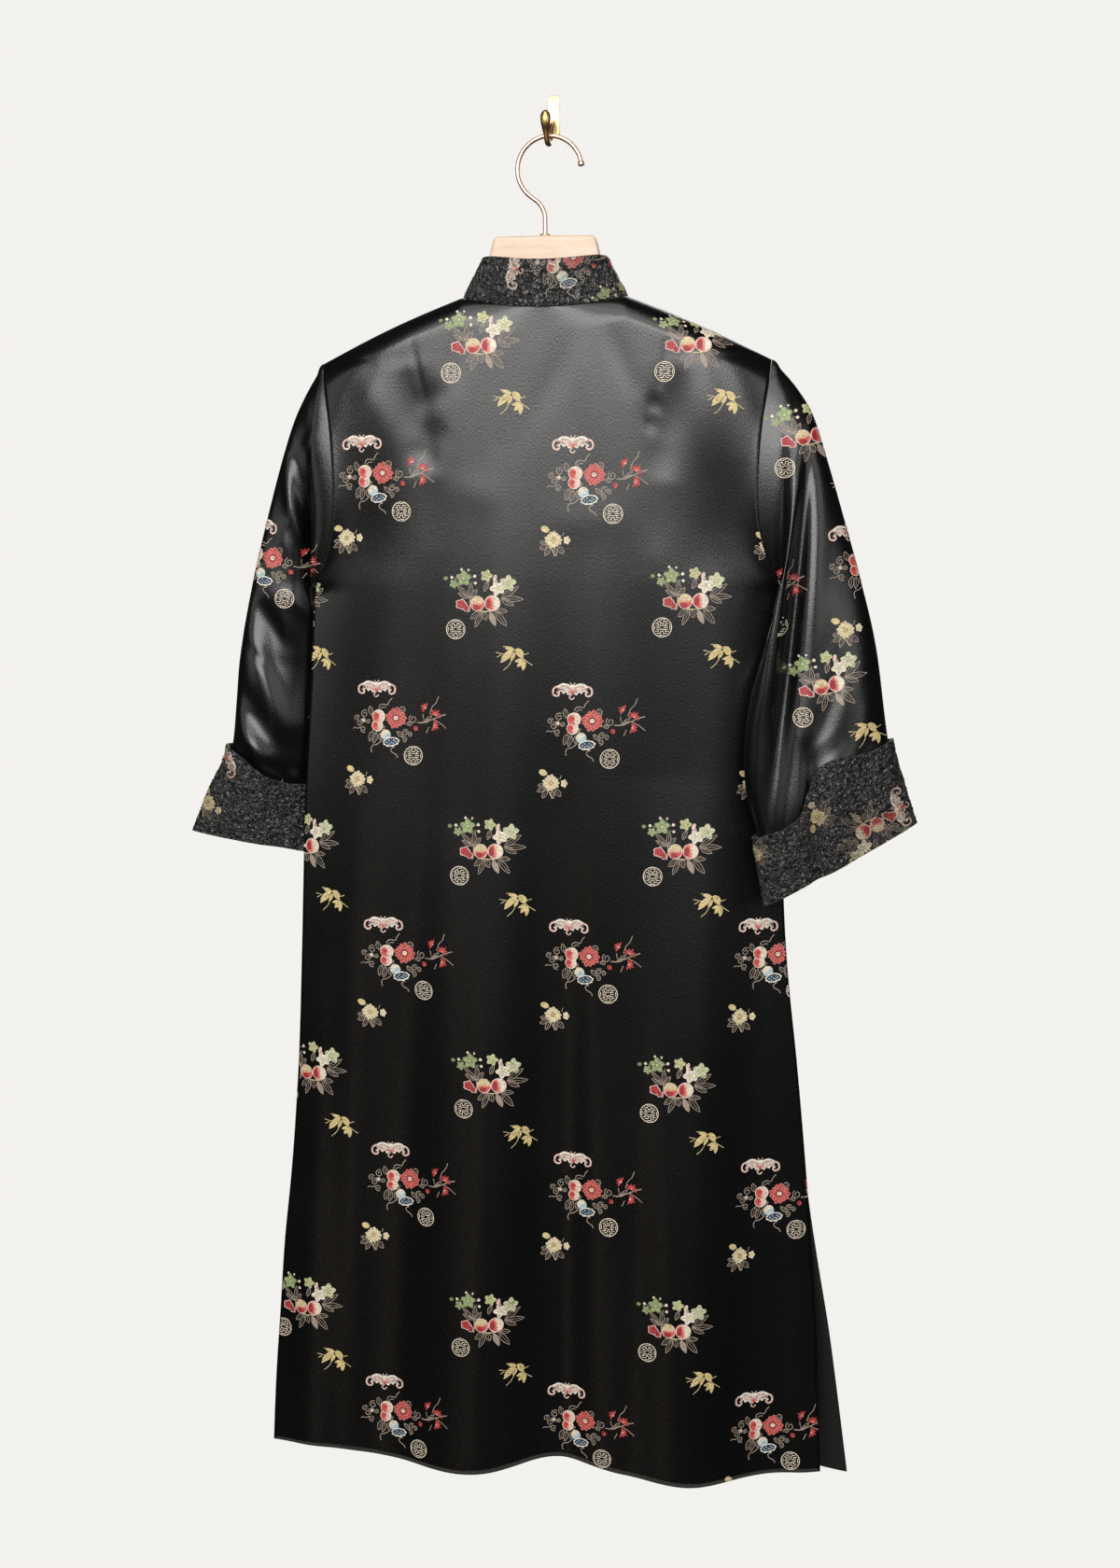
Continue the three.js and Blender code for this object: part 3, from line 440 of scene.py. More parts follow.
# Finer creases: a curve from one end, drawn towards a middle point, to the other end.
CREASE = "x1 z1 xm zm x2 z2 width rise"
CREASES = {-1: table(CREASE, [
    # the long soft waves between the large folds
    (-232, -520, -226, -980, -226, -1700, 22, 3.0), (-100, -330, -128, -760, -146, -1700, 24, -3.4),
    (-176, -560, -186, -900, -190, -1700, 20, 2.6), (-30, -300, -46, -700, -52, -1700, 22, 3.4),
    (6, -420, -4, -800, -10, -1700, 18, -3.0), (52, -380, 44, -760, 36, -1700, 18, 2.6),
    (96, -420, 92, -800, 84, -1700, 20, -3.2), (166, -380, 150, -760, 134, -1700, 22, 3.2),
    (196, -560, 190, -900, 184, -1700, 17, -2.6),
    # the shoulder darts, and the dimples at their points
    (-118, -203, -113, -232, -106, -262, 2.2, -0.9), (-118, -266, -103, -262, -84, -250, 10, -0.8),
    (-114, -294, -98, -296, -82, -286, 11, -0.6), (-128, -304, -108, -310, -92, -312, 9, -0.5),
    (112, -203, 111, -230, 103, -258, 2.2, -0.9), (108, -262, 100, -268, 92, -268, 7, -1.0),
    (103, -278, 98, -284, 91, -288, 6, -0.8), (84, -236, 98, -290, 96, -352, 13, -0.5),
    (109, -300, 106, -345, 104, -402, 17, -1.0), (-107, -296, -103, -340, -101, -398, 17, -0.9),
    # soft folds that run down from the neck and the shoulders
    (38, -186, 16, -236, -18, -300, 13, -0.45), (58, -184, 66, -222, 86, -262, 10, -0.7),
    (26, -190, 46, -250, 52, -330, 14, 0.35), (-62, -186, -74, -222, -84, -262, 11, -0.45),
    (-150, -222, -170, -250, -192, -292, 10, -0.8), (-178, -224, -150, -262, -126, -318, 12, 0.5),
    (150, -222, 166, -252, 178, -312, 11, -0.8), (134, -224, 142, -276, 150, -330, 12, 0.5),
    (-84, -330, -60, -352, -30, -348, 16, 0.4), (88, -360, 40, -376, -10, -368, 18, 0.4),
]), 1: table(CREASE, [
    (-218, -520, -226, -900, -232, -1700, 20, 3.0), (-140, -420, -150, -800, -158, -1700, 20, 3.0),
    (-66, -380, -72, -800, -76, -1700, 18, -2.8), (30, -420, 22, -800, 18, -1700, 17, 2.8),
    (98, -380, 106, -800, 112, -1700, 20, -3.0), (182, -460, 192, -800, 198, -1700, 20, 3.0),
    (-52, -252, -76, -300, -104, -352, 12, -2.0), (50, -252, 72, -310, 96, -366, 12, -1.9),
    (-138, -226, -158, -262, -178, -312, 10, -1.6), (140, -226, 158, -264, 176, -318, 10, -1.5),
    (-190, -360, -150, -392, -104, -384, 13, 1.2), (192, -362, 150, -388, 108, -392, 13, 1.2),
    (-116, -240, -104, -300, -100, -352, 11, 1.3), (118, -240, 108, -296, 102, -344, 11, 1.3),
])}


def clamp(value, low=0.0, high=1.0):
    return np.clip(value, low, high)


def ease(t):
    t = clamp(t)
    return t * t * (3 - 2 * t)


def mix(a, b, t):
    return a + (b - a) * t


def fold_rise(rows, x, z):
    """How far the large folds move the cloth outwards at a place in the hanging plane."""
    rise = 0
    for x1, z1, x2, z2, width, height in zip(*rows.values()):
        length = math.hypot(x2 - x1, z2 - z1)
        along = ((x - x1) * (x2 - x1) + (z - z1) * (z2 - z1)) / length**2
        across = ((x - x1) * (z2 - z1) - (z - z1) * (x2 - x1)) / length / width
        rise = rise + height * np.exp(-across**2) * np.sin(np.pi * clamp(along))
    return rise


def crease_rise(rows, x, z):
    """The same for the finer creases, which bend and fade to nothing at both ends."""
    rise = np.zeros(np.broadcast(x, z).shape)
    s = np.linspace(0, 1, 13)
    for x1, z1, xm, zm, x2, z2, width, height in zip(*rows.values()):
        px = (1 - s) ** 2 * x1 + 2 * s * (1 - s) * xm + s**2 * x2
        pz = (1 - s) ** 2 * z1 + 2 * s * (1 - s) * zm + s**2 * z2
        nearest, along = np.full(rise.shape, 1e9), np.zeros(rise.shape)
        for k in range(12):
            dx, dz = px[k + 1] - px[k], pz[k + 1] - pz[k]
            t = clamp(((x - px[k]) * dx + (z - pz[k]) * dz) / (dx * dx + dz * dz))
            apart = (x - px[k] - t * dx) ** 2 + (z - pz[k] - t * dz) ** 2
            closer = apart < nearest
            nearest, along = np.where(closer, apart, nearest), np.where(closer, (k + t) / 12, along)
        rise += height * np.exp(-nearest / width**2) * np.sin(np.pi * along)
    return rise


def shoulder_z(distance):
    t = (distance - NECK["half_width"]) / (SHOULDER["tip_x"] - NECK["half_width"])
    return mix(NECK["side_z"], SHOULDER["tip_z"], t) + SHOULDER["rise"] * np.sin(np.pi * clamp(t))


def neck_line(distance, side):
    """The sewn neck line: its depth from the hanging plane, and its height."""
    round_ = np.sqrt(np.maximum(0, 1 - (distance / NECK["half_width"]) ** 2))
    if side < 0:
        return NECK["back_depth"] * round_, NECK["side_z"] - NECK["back_dip"] * round_**2
    dip = clamp((round_ - NECK["front_start"]) / (1 - NECK["front_start"])) ** NECK["front_curve"]
    return NECK["front_depth"] * round_, NECK["side_z"] - NECK["front_dip"] * dip


def edge_depth(z):
    """Half depth of the body at its side edge: the armhole's oval, the sewn seam, the open slit."""
    seam = smooth(BODY_DEPTH, "edge", z)
    middle, half = (SHOULDER["tip_z"] + UNDERARM_Z) / 2, (SHOULDER["tip_z"] - UNDERARM_Z) / 2
    oval = ARMHOLE_DEPTH * np.sqrt(np.maximum(0, 1 - ((z - middle) / half) ** 2))
    return np.where(z > middle, oval, np.where(z > UNDERARM_Z, np.maximum(seam, oval), seam))


def body_point(side, u, v):
    """A place on the back (side -1) or the fronts (side 1): u across from -1 to 1, v down from 0 to 1."""
    u, v = np.broadcast_arrays(np.asarray(u, float), np.asarray(v, float))
    top = np.abs(u) * SHOULDER["tip_x"]
    neck_depth, neck_z = neck_line(top, side)
    on_neck = top < NECK["half_width"]
    top_z = np.where(on_neck, neck_z, shoulder_z(top))
    top_depth = np.where(on_neck, neck_depth, 0)
    hem_z = HEM_Z + smooth(HEM_WAVE, "back" if side < 0 else "front", u * HEM_HALF[side])
    turn = clamp(v / ROLL_SHARE) * np.pi / 2
    roll_z = top_z - SHOULDER["roll"] * (1 - np.cos(turn))
    z = np.where(v < ROLL_SHARE, roll_z, mix(roll_z, hem_z, (v - ROLL_SHARE) / (1 - ROLL_SHARE)))
    if side < 0:
        width = smooth(BODY_WIDTH, "back", z)
    else:
        width = np.where(u < 0, smooth(BODY_WIDTH, "left", z), smooth(BODY_WIDTH, "right", z))
    x = u * width + smooth(BODY_WIDTH, "sway", z)
    power = smooth(BODY_DEPTH, "power", z)
    full = mix(smooth(BODY_DEPTH, "edge", z), smooth(BODY_DEPTH, "middle", z), 1 - np.abs(u) ** power)
    near_underarm = ease((ARMHOLE_LOCAL["from_z"] - z) / ARMHOLE_LOCAL["over"])
    full = full + (edge_depth(z) - smooth(BODY_DEPTH, "edge", z)) * np.abs(u) ** mix(
        power, ARMHOLE_LOCAL["power"], near_underarm)
    folds = fold_rise(FOLDS[side], x, z) + crease_rise(CREASES[side], x, z)
    folds = folds * ease((1 - np.abs(u)) / FOLDS_FADE)
    depth = np.maximum(HALF_GAP, mix(top_depth, full, np.sin(turn)) + folds * np.sin(turn))
    return np.stack([HANG_X + x, HANG_Y + side * depth, z], axis=-1)


def laid_flat(points, centre, level, round_=False):
    """Each place's coordinates on the flat cloth: across the weave from a column, up it from a row."""
    if round_:
        points = np.concatenate([points, points[:, :1]], axis=1)
    across = np.diff(points, axis=1)
    step = np.hypot(across[..., 0], across[..., 1])
    u = np.concatenate([np.zeros((len(points), 1)), np.cumsum(step, axis=1)], axis=1)
    u -= u[:, centre:centre + 1]
    down = np.linalg.norm(np.diff(points, axis=0)[..., 1:], axis=-1)
    v = np.concatenate([np.zeros((1, points.shape[1])), np.cumsum(down, axis=0)])
    heights = points[..., 2]
    for c in range(points.shape[1]):
        v[:, c] -= np.interp(-level, -heights[:, c], v[:, c])
    return np.stack([u, level - v], axis=-1) / 1000


def cloth_piece(name, points, flat, materials, thickness, round_=False, outwards=(0, -1, 0)):
    """A shell from a grid of outer points, with the flat cloth's coordinates as its UV map."""
    rows, columns = points.shape[:2]
    r, c = np.meshgrid(np.arange(rows - 1), np.arange(columns if round_ else columns - 1), indexing="ij")
    corners = [(r, c), (r + 1, c), (r + 1, c + 1), (r, c + 1)]
    first = np.cross(points[1, 0] - points[0, 0], points[0, 1] - points[0, 0])
    row, column = rows // 2, columns // 4
    middle = points[row, column]
    span = np.cross(points[row + 1, column] - middle, points[row, column + 1] - middle)
    if np.dot(span if np.linalg.norm(span) > 0 else first, outwards) < 0:
        corners.reverse()
    faces = np.stack([a * columns + b % columns for a, b in corners], axis=-1).reshape(-1, 4)
    uv = np.stack([flat[a, b] for a, b in corners], axis=2).reshape(-1, 2)
    piece = mesh_object(name, points.reshape(-1, 3), faces, materials)
    piece.data.uv_layers.new(name="cloth").data.foreach_set("uv", uv.ravel())
    wall = piece.modifiers.new("wall", "SOLIDIFY")
    wall.thickness, wall.offset, wall.material_offset = thickness / 1000, -1, 1
    return piece


def cloth_noise(tree, across, up, detail, **more):
    """Noise on the flat cloth, with so many cells a metre across the weave and up it."""
    place = tree.node("ShaderNodeUVMap", {"uv_map": "cloth"}).outputs[0]
    place = tree.node("ShaderNodeMapping", None, {"Vector": place, "Scale": (across, up, 1.0)}).outputs[0]
    return tree.node("ShaderNodeTexNoise", {"noise_dimensions": "2D"}, {
        "Vector": place, "Scale": 1.0, "Detail": detail, **more}, "Fac")


satin, tree = finish("satin_ground", IOR=1.52, Sheen_Weight=0.008, Sheen_Roughness=0.35,
                     Sheen_Tint=(0.75, 0.78, 0.85))
weave = cloth_noise(tree, 1000, 460, 1.0)
slub = cloth_noise(tree, 14, 220, 3.0)
rubbed = cloth_noise(tree, 9, 9, 4.0)
tree.shade(Base_Color=tree.blend(rubbed * 0.3 + weave * 0.7, (0.0003, 0.0003, 0.0003),
                                 (0.0030, 0.0028, 0.0027)),
           Roughness=0.19 + rubbed * 0.04 + weave * 0.14,
           Normal=tree.bump(0.32, 0.0003, weave + slub * 0.1))

reverse, tree = finish("satin_reverse", IOR=1.35)
floats = cloth_noise(tree, 500, 1500, 2.0)
tree.shade(Base_Color=tree.blend(floats, (0.002, 0.002, 0.0022), (0.007, 0.0068, 0.007)),
           Roughness=0.55 + floats * 0.2, Normal=tree.bump(0.4, 0.0002, floats))

ROLL_STEPS, FALL_STEPS, BACK_COLUMNS, FRONT_COLUMNS = 21, 206, 145, 73
down_steps = np.concatenate(
    [np.linspace(0, ROLL_SHARE, ROLL_STEPS)[:-1], np.linspace(ROLL_SHARE, 1, FALL_STEPS)])
back_columns = np.linspace(-1, 1, BACK_COLUMNS)
back_points = body_point(-1, back_columns[None, :], down_steps[:, None])
back_flat = laid_flat(back_points, len(back_columns) // 2, UNDERARM_Z)
back = cloth_piece("back_panel", back_points, back_flat, [satin, reverse], CLOTH)
panels = {"back_panel": (back, back_points, back_flat)}
carried(back, "satin_brocade", "back")

for word, hand in (("left", -1), ("right", 1)):
    columns = hand * np.linspace(FRONT_EDGE, 1, FRONT_COLUMNS)
    columns = columns if hand > 0 else columns[::-1]
    points = body_point(1, columns[None, :], down_steps[:, None])
    flat = laid_flat(points, 0 if hand > 0 else len(columns) - 1, UNDERARM_Z) * (-1, 1)
    front = cloth_piece(f"front_{word}_panel", points, flat, [satin, reverse], CLOTH, outwards=(0, 1, 0))
    panels[front.name] = (front, points, flat)
    carried(front, "satin_brocade", f"front_{word}")

# ------------------------------------------------------------------ sleeves
# Satin sleeves, each cut in one piece, eased into the armholes and ending inside the cuffs. The left one
# hangs behind the body's side and the right one before it, and both are creased.
SLEEVE = "at outer_x outer_z inner_x inner_z outer_lean inner_lean away bulge over"
SLEEVES = {-1: table(SLEEVE, [
    (0.0, 204, -226, 215, -432, 0, 0, 22, 22, 22), (0.05, 211, -237, 219, -446, 0, 4, 23, 21, 17),
    (0.11, 221, -253, 217, -461, 1, 12, 24, 20, 11), (0.19, 233, -277, 207, -483, 2, 20, 23, 20, 9),
    (0.3, 246, -315, 197, -512, 3, 25, 21, 21, 8), (0.45, 262, -372, 190, -545, 3, 27, 20, 23, 8),
    (0.6, 277, -432, 186, -575, 3, 28, 19, 25, 8), (0.72, 290, -500, 184, -595, 4, 30, 20, 28, 9),
    (0.8, 299, -579, 187, -609, 6, 32, 20, 29, 9), (0.9, 318, -620, 187, -650, 5, 31, 16, 22, 9),
    (1.0, 336.5, -661, 187, -690, 3, 28, 12, 13, 8),
]), 1: table(SLEEVE, [
    (0.0, 204, -226, 215, -432, 0, 0, 22, 22, 22), (0.05, 213, -235, 219, -446, 0, 4, 24, 20, 17),
    (0.11, 226, -250, 217, -461, 1, 13, 26, 19, 11), (0.19, 240, -272, 206, -483, 3, 22, 27, 18, 9),
    (0.3, 252, -306, 193, -512, 4, 28, 26, 18, 8), (0.45, 270, -365, 186, -548, 5, 31, 25, 19, 8),
    (0.6, 287, -424, 184, -584, 5, 31, 25, 20, 8), (0.72, 302, -486, 187, -618, 5, 31, 27, 22, 9),
    (0.8, 314, -568, 196, -651, 5, 31, 29, 23, 9), (0.9, 326, -607, 201, -684, 5, 31, 24, 19, 9),
    (1.0, 339, -643, 206, -716, 5, 31, 17, 13, 8),
])}
# Large folds on the face that lies near the overlapped panel, and on the face away from it.
SLEEVE_FOLDS = {-1: {"near": table(FOLD, [
    (-213, -300, -220, -440, 11, -8), (-233, -290, -236, -425, 11, 4), (-262, -440, -236, -560, 13, -6),
    (-286, -480, -250, -590, 12, 5),
]), "away": table(FOLD, [(-224, -300, -214, -560, 14, -7), (-262, -430, -240, -600, 16, 4)])},
    1: {"near": table(FOLD, [(240, -300, 262, -560, 14, -6)]), "away": table(FOLD, [
        (240, -280, 206, -690, 10, -11), (222, -330, 190, -640, 12, 5), (276, -420, 286, -560, 20, 4),
    ])}}
SLEEVE_CREASES = {-1: {"near": table(CREASE, [
    (-206, -262, -200, -320, -216, -408, 8, -4.5), (-220, -306, -214, -284, -200, -293, 4.5, 2.4),
    (-241, -296, -240, -362, -214, -410, 5.5, 3.4), (-230, -286, -229, -340, -224, -384, 6, -3.2),
    (-243, -290, -238, -306, -231, -322, 5, -1.8), (-210, -296, -210, -308, -212, -320, 3.2, 1.4),
    (-248, -330, -256, -372, -262, -398, 9, -2.4), (-262, -352, -250, -380, -236, -404, 8, 1.6),
    (-280, -424, -260, -460, -236, -494, 9, -3.6), (-288, -458, -262, -490, -246, -580, 8, 3.6),
    (-288, -476, -274, -490, -258, -506, 4.5, -2.2), (-304, -506, -266, -540, -250, -608, 8, -3.6),
    (-306, -520, -278, -570, -248, -640, 5, 3.6), (-250, -430, -222, -452, -204, -470, 8, 1.8),
    (-286, -500, -252, -560, -232, -640, 8, -3.0), (-244, -500, -228, -560, -222, -660, 13, 4.6),
    (-318, -560, -296, -590, -266, -640, 4, 2.0), (-304, -536, -276, -592, -214, -604, 13, 6.5),
    (-292, -552, -272, -574, -246, -616, 5, 2.4),
    (-214, -236, -220, -262, -216, -288, 6, 1.6), (-224, -244, -232, -268, -236, -292, 6, -1.5),
    (-262, -560, -250, -640, -256, -740, 15, -4), (-226, -560, -222, -640, -224, -740, 12, -3),
]), "away": table(CREASE, [
    (-222, -262, -214, -340, -212, -420, 8, -3.0), (-240, -290, -244, -360, -232, -430, 9, 2.6),
    (-270, -420, -248, -470, -226, -500, 10, -3.0), (-292, -480, -266, -530, -246, -590, 9, 3.0),
    (-300, -530, -276, -570, -244, -600, 7, -2.2),
])}, 1: {"near": table(CREASE, [
    (226, -262, 218, -340, 214, -430, 8, -3.0), (246, -290, 250, -370, 238, -440, 9, 2.6),
    (280, -420, 256, -470, 232, -510, 10, -3.0), (306, -480, 276, -540, 250, -600, 9, 3.0),
]), "away": table(CREASE, [
    (238, -280, 236, -400, 206, -640, 4.6, -5.0), (228, -290, 222, -420, 200, -560, 7, 2.6),
    (252, -300, 250, -430, 224, -600, 9, 1.6), (206, -238, 214, -262, 214, -300, 5, 1.9),
    (216, -240, 226, -262, 230, -284, 4.5, -1.8), (198, -282, 206, -304, 204, -340, 6, -2.4),
    (212, -300, 222, -318, 226, -336, 5, 1.5), (264, -380, 276, -440, 290, -520, 14, -1.8),
    (282, -470, 262, -530, 238, -592, 9, -2.6), (300, -520, 290, -560, 268, -596, 7, 1.8),
    (280, -560, 262, -572, 240, -592, 5, -2.0), (240, -560, 247, -640, 262, -790, 6.5, -8),
    (262, -556, 270, -640, 282, -790, 13, 4), (222, -590, 220, -670, 226, -790, 9, 3),
    (300, -540, 290, -620, 292, -720, 16, -2.5),
])}}
SLEEVE_END, SLEEVE_EASE = 0.985, 2
# The shares of a sleeve over which it leaves the armhole and over which its folds come in.
CROWN_SEAM, FOLDS_START = 0.05, 0.12
OVERLAP = dict(start=-0.45, over=0.8)   # where, round the near face, it leaves the overlapped panel


def edge_step(z):
    """Where along a body column its side edge reaches a height."""
    roll_end = SHOULDER["tip_z"] - SHOULDER["roll"]
    turned = np.arccos(clamp(1 - (SHOULDER["tip_z"] - z) / SHOULDER["roll"], -1, 1)) / (np.pi / 2)
    falling = ROLL_SHARE + (1 - ROLL_SHARE) * (roll_end - z) / (roll_end - HEM_Z)
    return np.where(z > roll_end, ROLL_SHARE * turned, falling)


def armhole_point(hand, turn):
    """The armhole's edge on the body, moved out by the seam's gap."""
    middle, half = (SHOULDER["tip_z"] + UNDERARM_Z) / 2, (SHOULDER["tip_z"] - UNDERARM_Z) / 2
    v = edge_step(middle + half * np.cos(turn))
    away = np.sin(turn) >= 0
    edge = np.where((away == (hand > 0))[..., None], body_point(-1, hand, v), body_point(1, hand, v))
    edge[..., 0] += hand * SEAM_GAP
    edge[..., 1] = np.where(np.abs(np.sin(turn)) < 1e-6, HANG_Y, edge[..., 1])
    return edge


def sleeve_point(hand, t, turn, spread=0.0):
    """A place on a sleeve: t from the armhole to the cuff's fold, turn round the ring."""
    t, turn = np.broadcast_arrays(np.asarray(t, float), np.asarray(turn, float))
    row = {name: smooth(SLEEVES[hand], name, t) for name in SLEEVES[hand] if name != "at"}
    c, s = np.cos(turn), np.sin(turn)
    grow = spread / np.hypot(row["outer_x"] - row["inner_x"], row["outer_z"] - row["inner_z"])
    along = (1 + c * (1 + 2 * grow)) / 2
    x = hand * mix(row["inner_x"], row["outer_x"], along)
    z = mix(row["inner_z"], row["outer_z"], along)
    lean = mix(row["inner_lean"], row["outer_lean"], along)
    near = mix(row["over"], row["bulge"], ease((c - OVERLAP["start"]) / OVERLAP["over"]))
    far = s > 0
    rise = np.zeros(x.shape)
    for face, chosen in (("away", far), ("near", ~far)):
        moved = fold_rise(SLEEVE_FOLDS[hand][face], x, z) + crease_rise(SLEEVE_CREASES[hand][face], x, z)
        rise = np.where(chosen, moved, rise)
    rise = rise * ease(t / FOLDS_START) * np.abs(s)
    offset = lean + np.where(far, 1, -1) * ((np.where(far, row["away"], near) + spread) * np.abs(s) + rise)
    point = np.stack([HANG_X + x, HANG_Y - hand * offset, z], axis=-1)
    seam = 1 - ease(t / CROWN_SEAM)
    point = mix(point, armhole_point(hand, turn), seam[..., None])
    point[..., 0] += hand * SLEEVE_EASE * np.sin(np.pi * seam)
    return point


def wound_flat(points, hand, down):
    """A tube's coordinates on the flat cloth, with its outer fold opened and its inner seam cut."""
    ahead = np.array([down[0], 0, down[1]]) / math.hypot(*down)
    across = np.array([-ahead[2], 0, ahead[0]])
    closed = np.concatenate([points, points[:, :1]], axis=1) - (HANG_X, HANG_Y, 0)
    u, v = closed @ across, -closed @ ahead
    half = points.shape[1] // 2
    fold = np.interp(v, v[::-1, half], u[::-1, half])
    column = np.arange(closed.shape[1])
    hidden = column > half if hand < 0 else column < half
    return np.stack([np.where(hidden, 2 * fold - u, u), v], axis=-1) / 1000


SLEEVE_SIDES, CROWN_SHARE, CROWN_STEPS, ARM_STEPS = 128, 0.13, 22, 104
sleeve_turns = np.pi + np.linspace(0, 2 * np.pi, SLEEVE_SIDES + 1)[:-1]
sleeve_steps = np.concatenate(
    [np.linspace(0, CROWN_SHARE, CROWN_STEPS)[:-1], np.linspace(CROWN_SHARE, SLEEVE_END, ARM_STEPS)])
SLEEVE_DOWN = {-1: (-60, -330), 1: (62, -330)}
for word, hand in (("left", -1), ("right", 1)):
    points = sleeve_point(hand, sleeve_steps[:, None], sleeve_turns[None, :])
    flat = wound_flat(points, hand, SLEEVE_DOWN[hand])
    sleeve = cloth_piece(f"sleeve_{word}_shell", points, flat, [satin, reverse], CLOTH, True,
                         outwards=(0, hand, 0))
    panels[sleeve.name] = (sleeve, points, flat)
    carried(sleeve, "satin_brocade", f"sleeve_{word}")

# ------------------------------------------------------------------ turned-back cuffs
# The sleeve's own brocade, doubled and turned back so that its crinkled reverse shows. A cuff is
# 85 mm deep, stiffened inside, and stands a little off the sleeve at its free top edge.
DOUBLE_CLOTH = 2.4
CUFF = dict(start=0.8, depth=85, top_clear=3.2, fold_clear=0.6)
# How far the free edge dips below a straight line, from the inner end (0) to the outer end (1).
CUFF_EDGE = table("at left right behind", [
    (0.0, 0, 0, 0), (0.2, 10, 8, -3), (0.33, 17, 7, -4.6), (0.4, 19, -4, -5.3), (0.47, 20, -13, -5.9),
    (0.58, 17.5, -12.5, -5.6), (0.7, 12, -8, -4.6), (0.84, 4, -3, -2), (1.0, 0, 0, 0),
])
CUFF_SIDES, CUFF_STEPS = 288, 64
CRINKLE = dict(cell=4.6, rise=1.1, level=0.6, seed=11, size=512)
PEBBLES = [(1.0, 0.7, 0.0), (0.55, 0.3, 71.3)]   # size against the cell, part of the whole, shift

pebbles = np.random.default_rng(CRINKLE["seed"]).random((CRINKLE["size"], CRINKLE["size"]))


def crinkle(u, v, cell):
    """Small pebbles with sharp valleys, from 0 to 1, at a place on the flat cloth in millimetres."""
    total = np.zeros(np.shape(u))
    for scale, part, shift in PEBBLES:
        size = cell * scale
        a, b = u / size + shift + 200, v / size * 1.15 + shift + 200
        i, j = np.floor(a).astype(int), np.floor(b).astype(int)
        fa, fb = ease(a - i), ease(b - j)
        corner = [[pebbles[(j + dj) % CRINKLE["size"], (i + di) % CRINKLE["size"]] for di in (0, 1)]
                  for dj in (0, 1)]
        value = mix(mix(corner[0][0], corner[0][1], fa), mix(corner[1][0], corner[1][1], fa), fb)
        total += part * (1 - np.abs(2 * value - 1) ** 0.8)
    return total


def raised(points, amount, round_):
    """The points moved out along their own normals."""
    wide = np.concatenate([points[:, -1:], points, points[:, :1]], axis=1) if round_ else points
    down, across = np.gradient(wide, axis=0), np.gradient(wide, axis=1)
    normal = np.cross(down, across)
    normal /= np.maximum(np.linalg.norm(normal, axis=-1, keepdims=True), 1e-9)
    if round_:
        normal = normal[:, 1:-1]
        if np.sum(normal * (points - points.mean(axis=1, keepdims=True))) < 0:
            normal = -normal
    return points + normal * amount[..., None]


crepe, tree = finish("crinkled_reverse", IOR=1.58, Sheen_Weight=0.05, Sheen_Roughness=0.4)
wander = cloth_noise(tree, 215, 215, 1.0, Distortion=0.5)
coarse = cloth_noise(tree, 620, 620, 3.0)
worms = 1 - tree.node("ShaderNodeMath", {"operation": "ABSOLUTE"}, {0: wander * 9 - 4.5}, "Value")
# The base colour follows the worms' relief: painted shade darkens the crinkles' valleys and a painted sheen
# lightens their ridges. The coarse noise adds a little random tone.
tree.shade(Base_Color=tree.blend(worms * 0.85 + coarse * 0.15, (0.0035, 0.0035, 0.0036),
                                 (0.030, 0.0285, 0.028)),
           Roughness=0.22 + coarse * 0.26, Normal=tree.bump(1.0, 0.0008, worms + coarse * 0.12))

cuff_turns = np.pi + np.linspace(0, 2 * np.pi, CUFF_SIDES + 1)[:-1]
cuff_steps = np.linspace(0, 1, CUFF_STEPS)
CUFF_DOWN = {-1: (-29, -149), 1: (73, -133)}
for word, hand in (("left", -1), ("right", 1)):
    along = (1 + np.cos(cuff_turns)) / 2
    shown = (np.sin(cuff_turns) < 0) == (hand < 0)
    dip = np.where(shown, smooth(CUFF_EDGE, word, along), smooth(CUFF_EDGE, "behind", along))
    start = CUFF["start"] + dip * (1 - CUFF["start"]) / CUFF["depth"]
    clear = mix(CUFF["top_clear"], CUFF["fold_clear"], cuff_steps)[:, None]
    points = sleeve_point(hand, mix(start[None, :], 1, cuff_steps[:, None]), cuff_turns[None, :],
                          DOUBLE_CLOTH + clear)
    flat = wound_flat(points, hand, CUFF_DOWN[hand])
    bumps = crinkle(flat[:, :-1, 0] * 1000, flat[:, :-1, 1] * 1000, CRINKLE["cell"])
    points = raised(points, CRINKLE["rise"] * (bumps - CRINKLE["level"]), True)
    cuff = cloth_piece(f"cuff_{word}_shell", points, flat, [crepe, crepe], DOUBLE_CLOTH, True,
                       outwards=(0, hand, 0))
    panels[cuff.name] = (cuff, points, flat)
    carried(cuff, "reversed_brocade", f"cuff_{word}")

# ------------------------------------------------------------------ stand collar
# A doubled strip of the same crinkled side, interlined, sewn round the neck with its two front
# corners rounded and a few millimetres apart.
COLLAR = dict(height=42, side_share=0.8, top_half_width=57, top_back=28, top_front=27, gap=5,
              corner_radius=14, corner_drop=12.6, columns=321, rows=36)


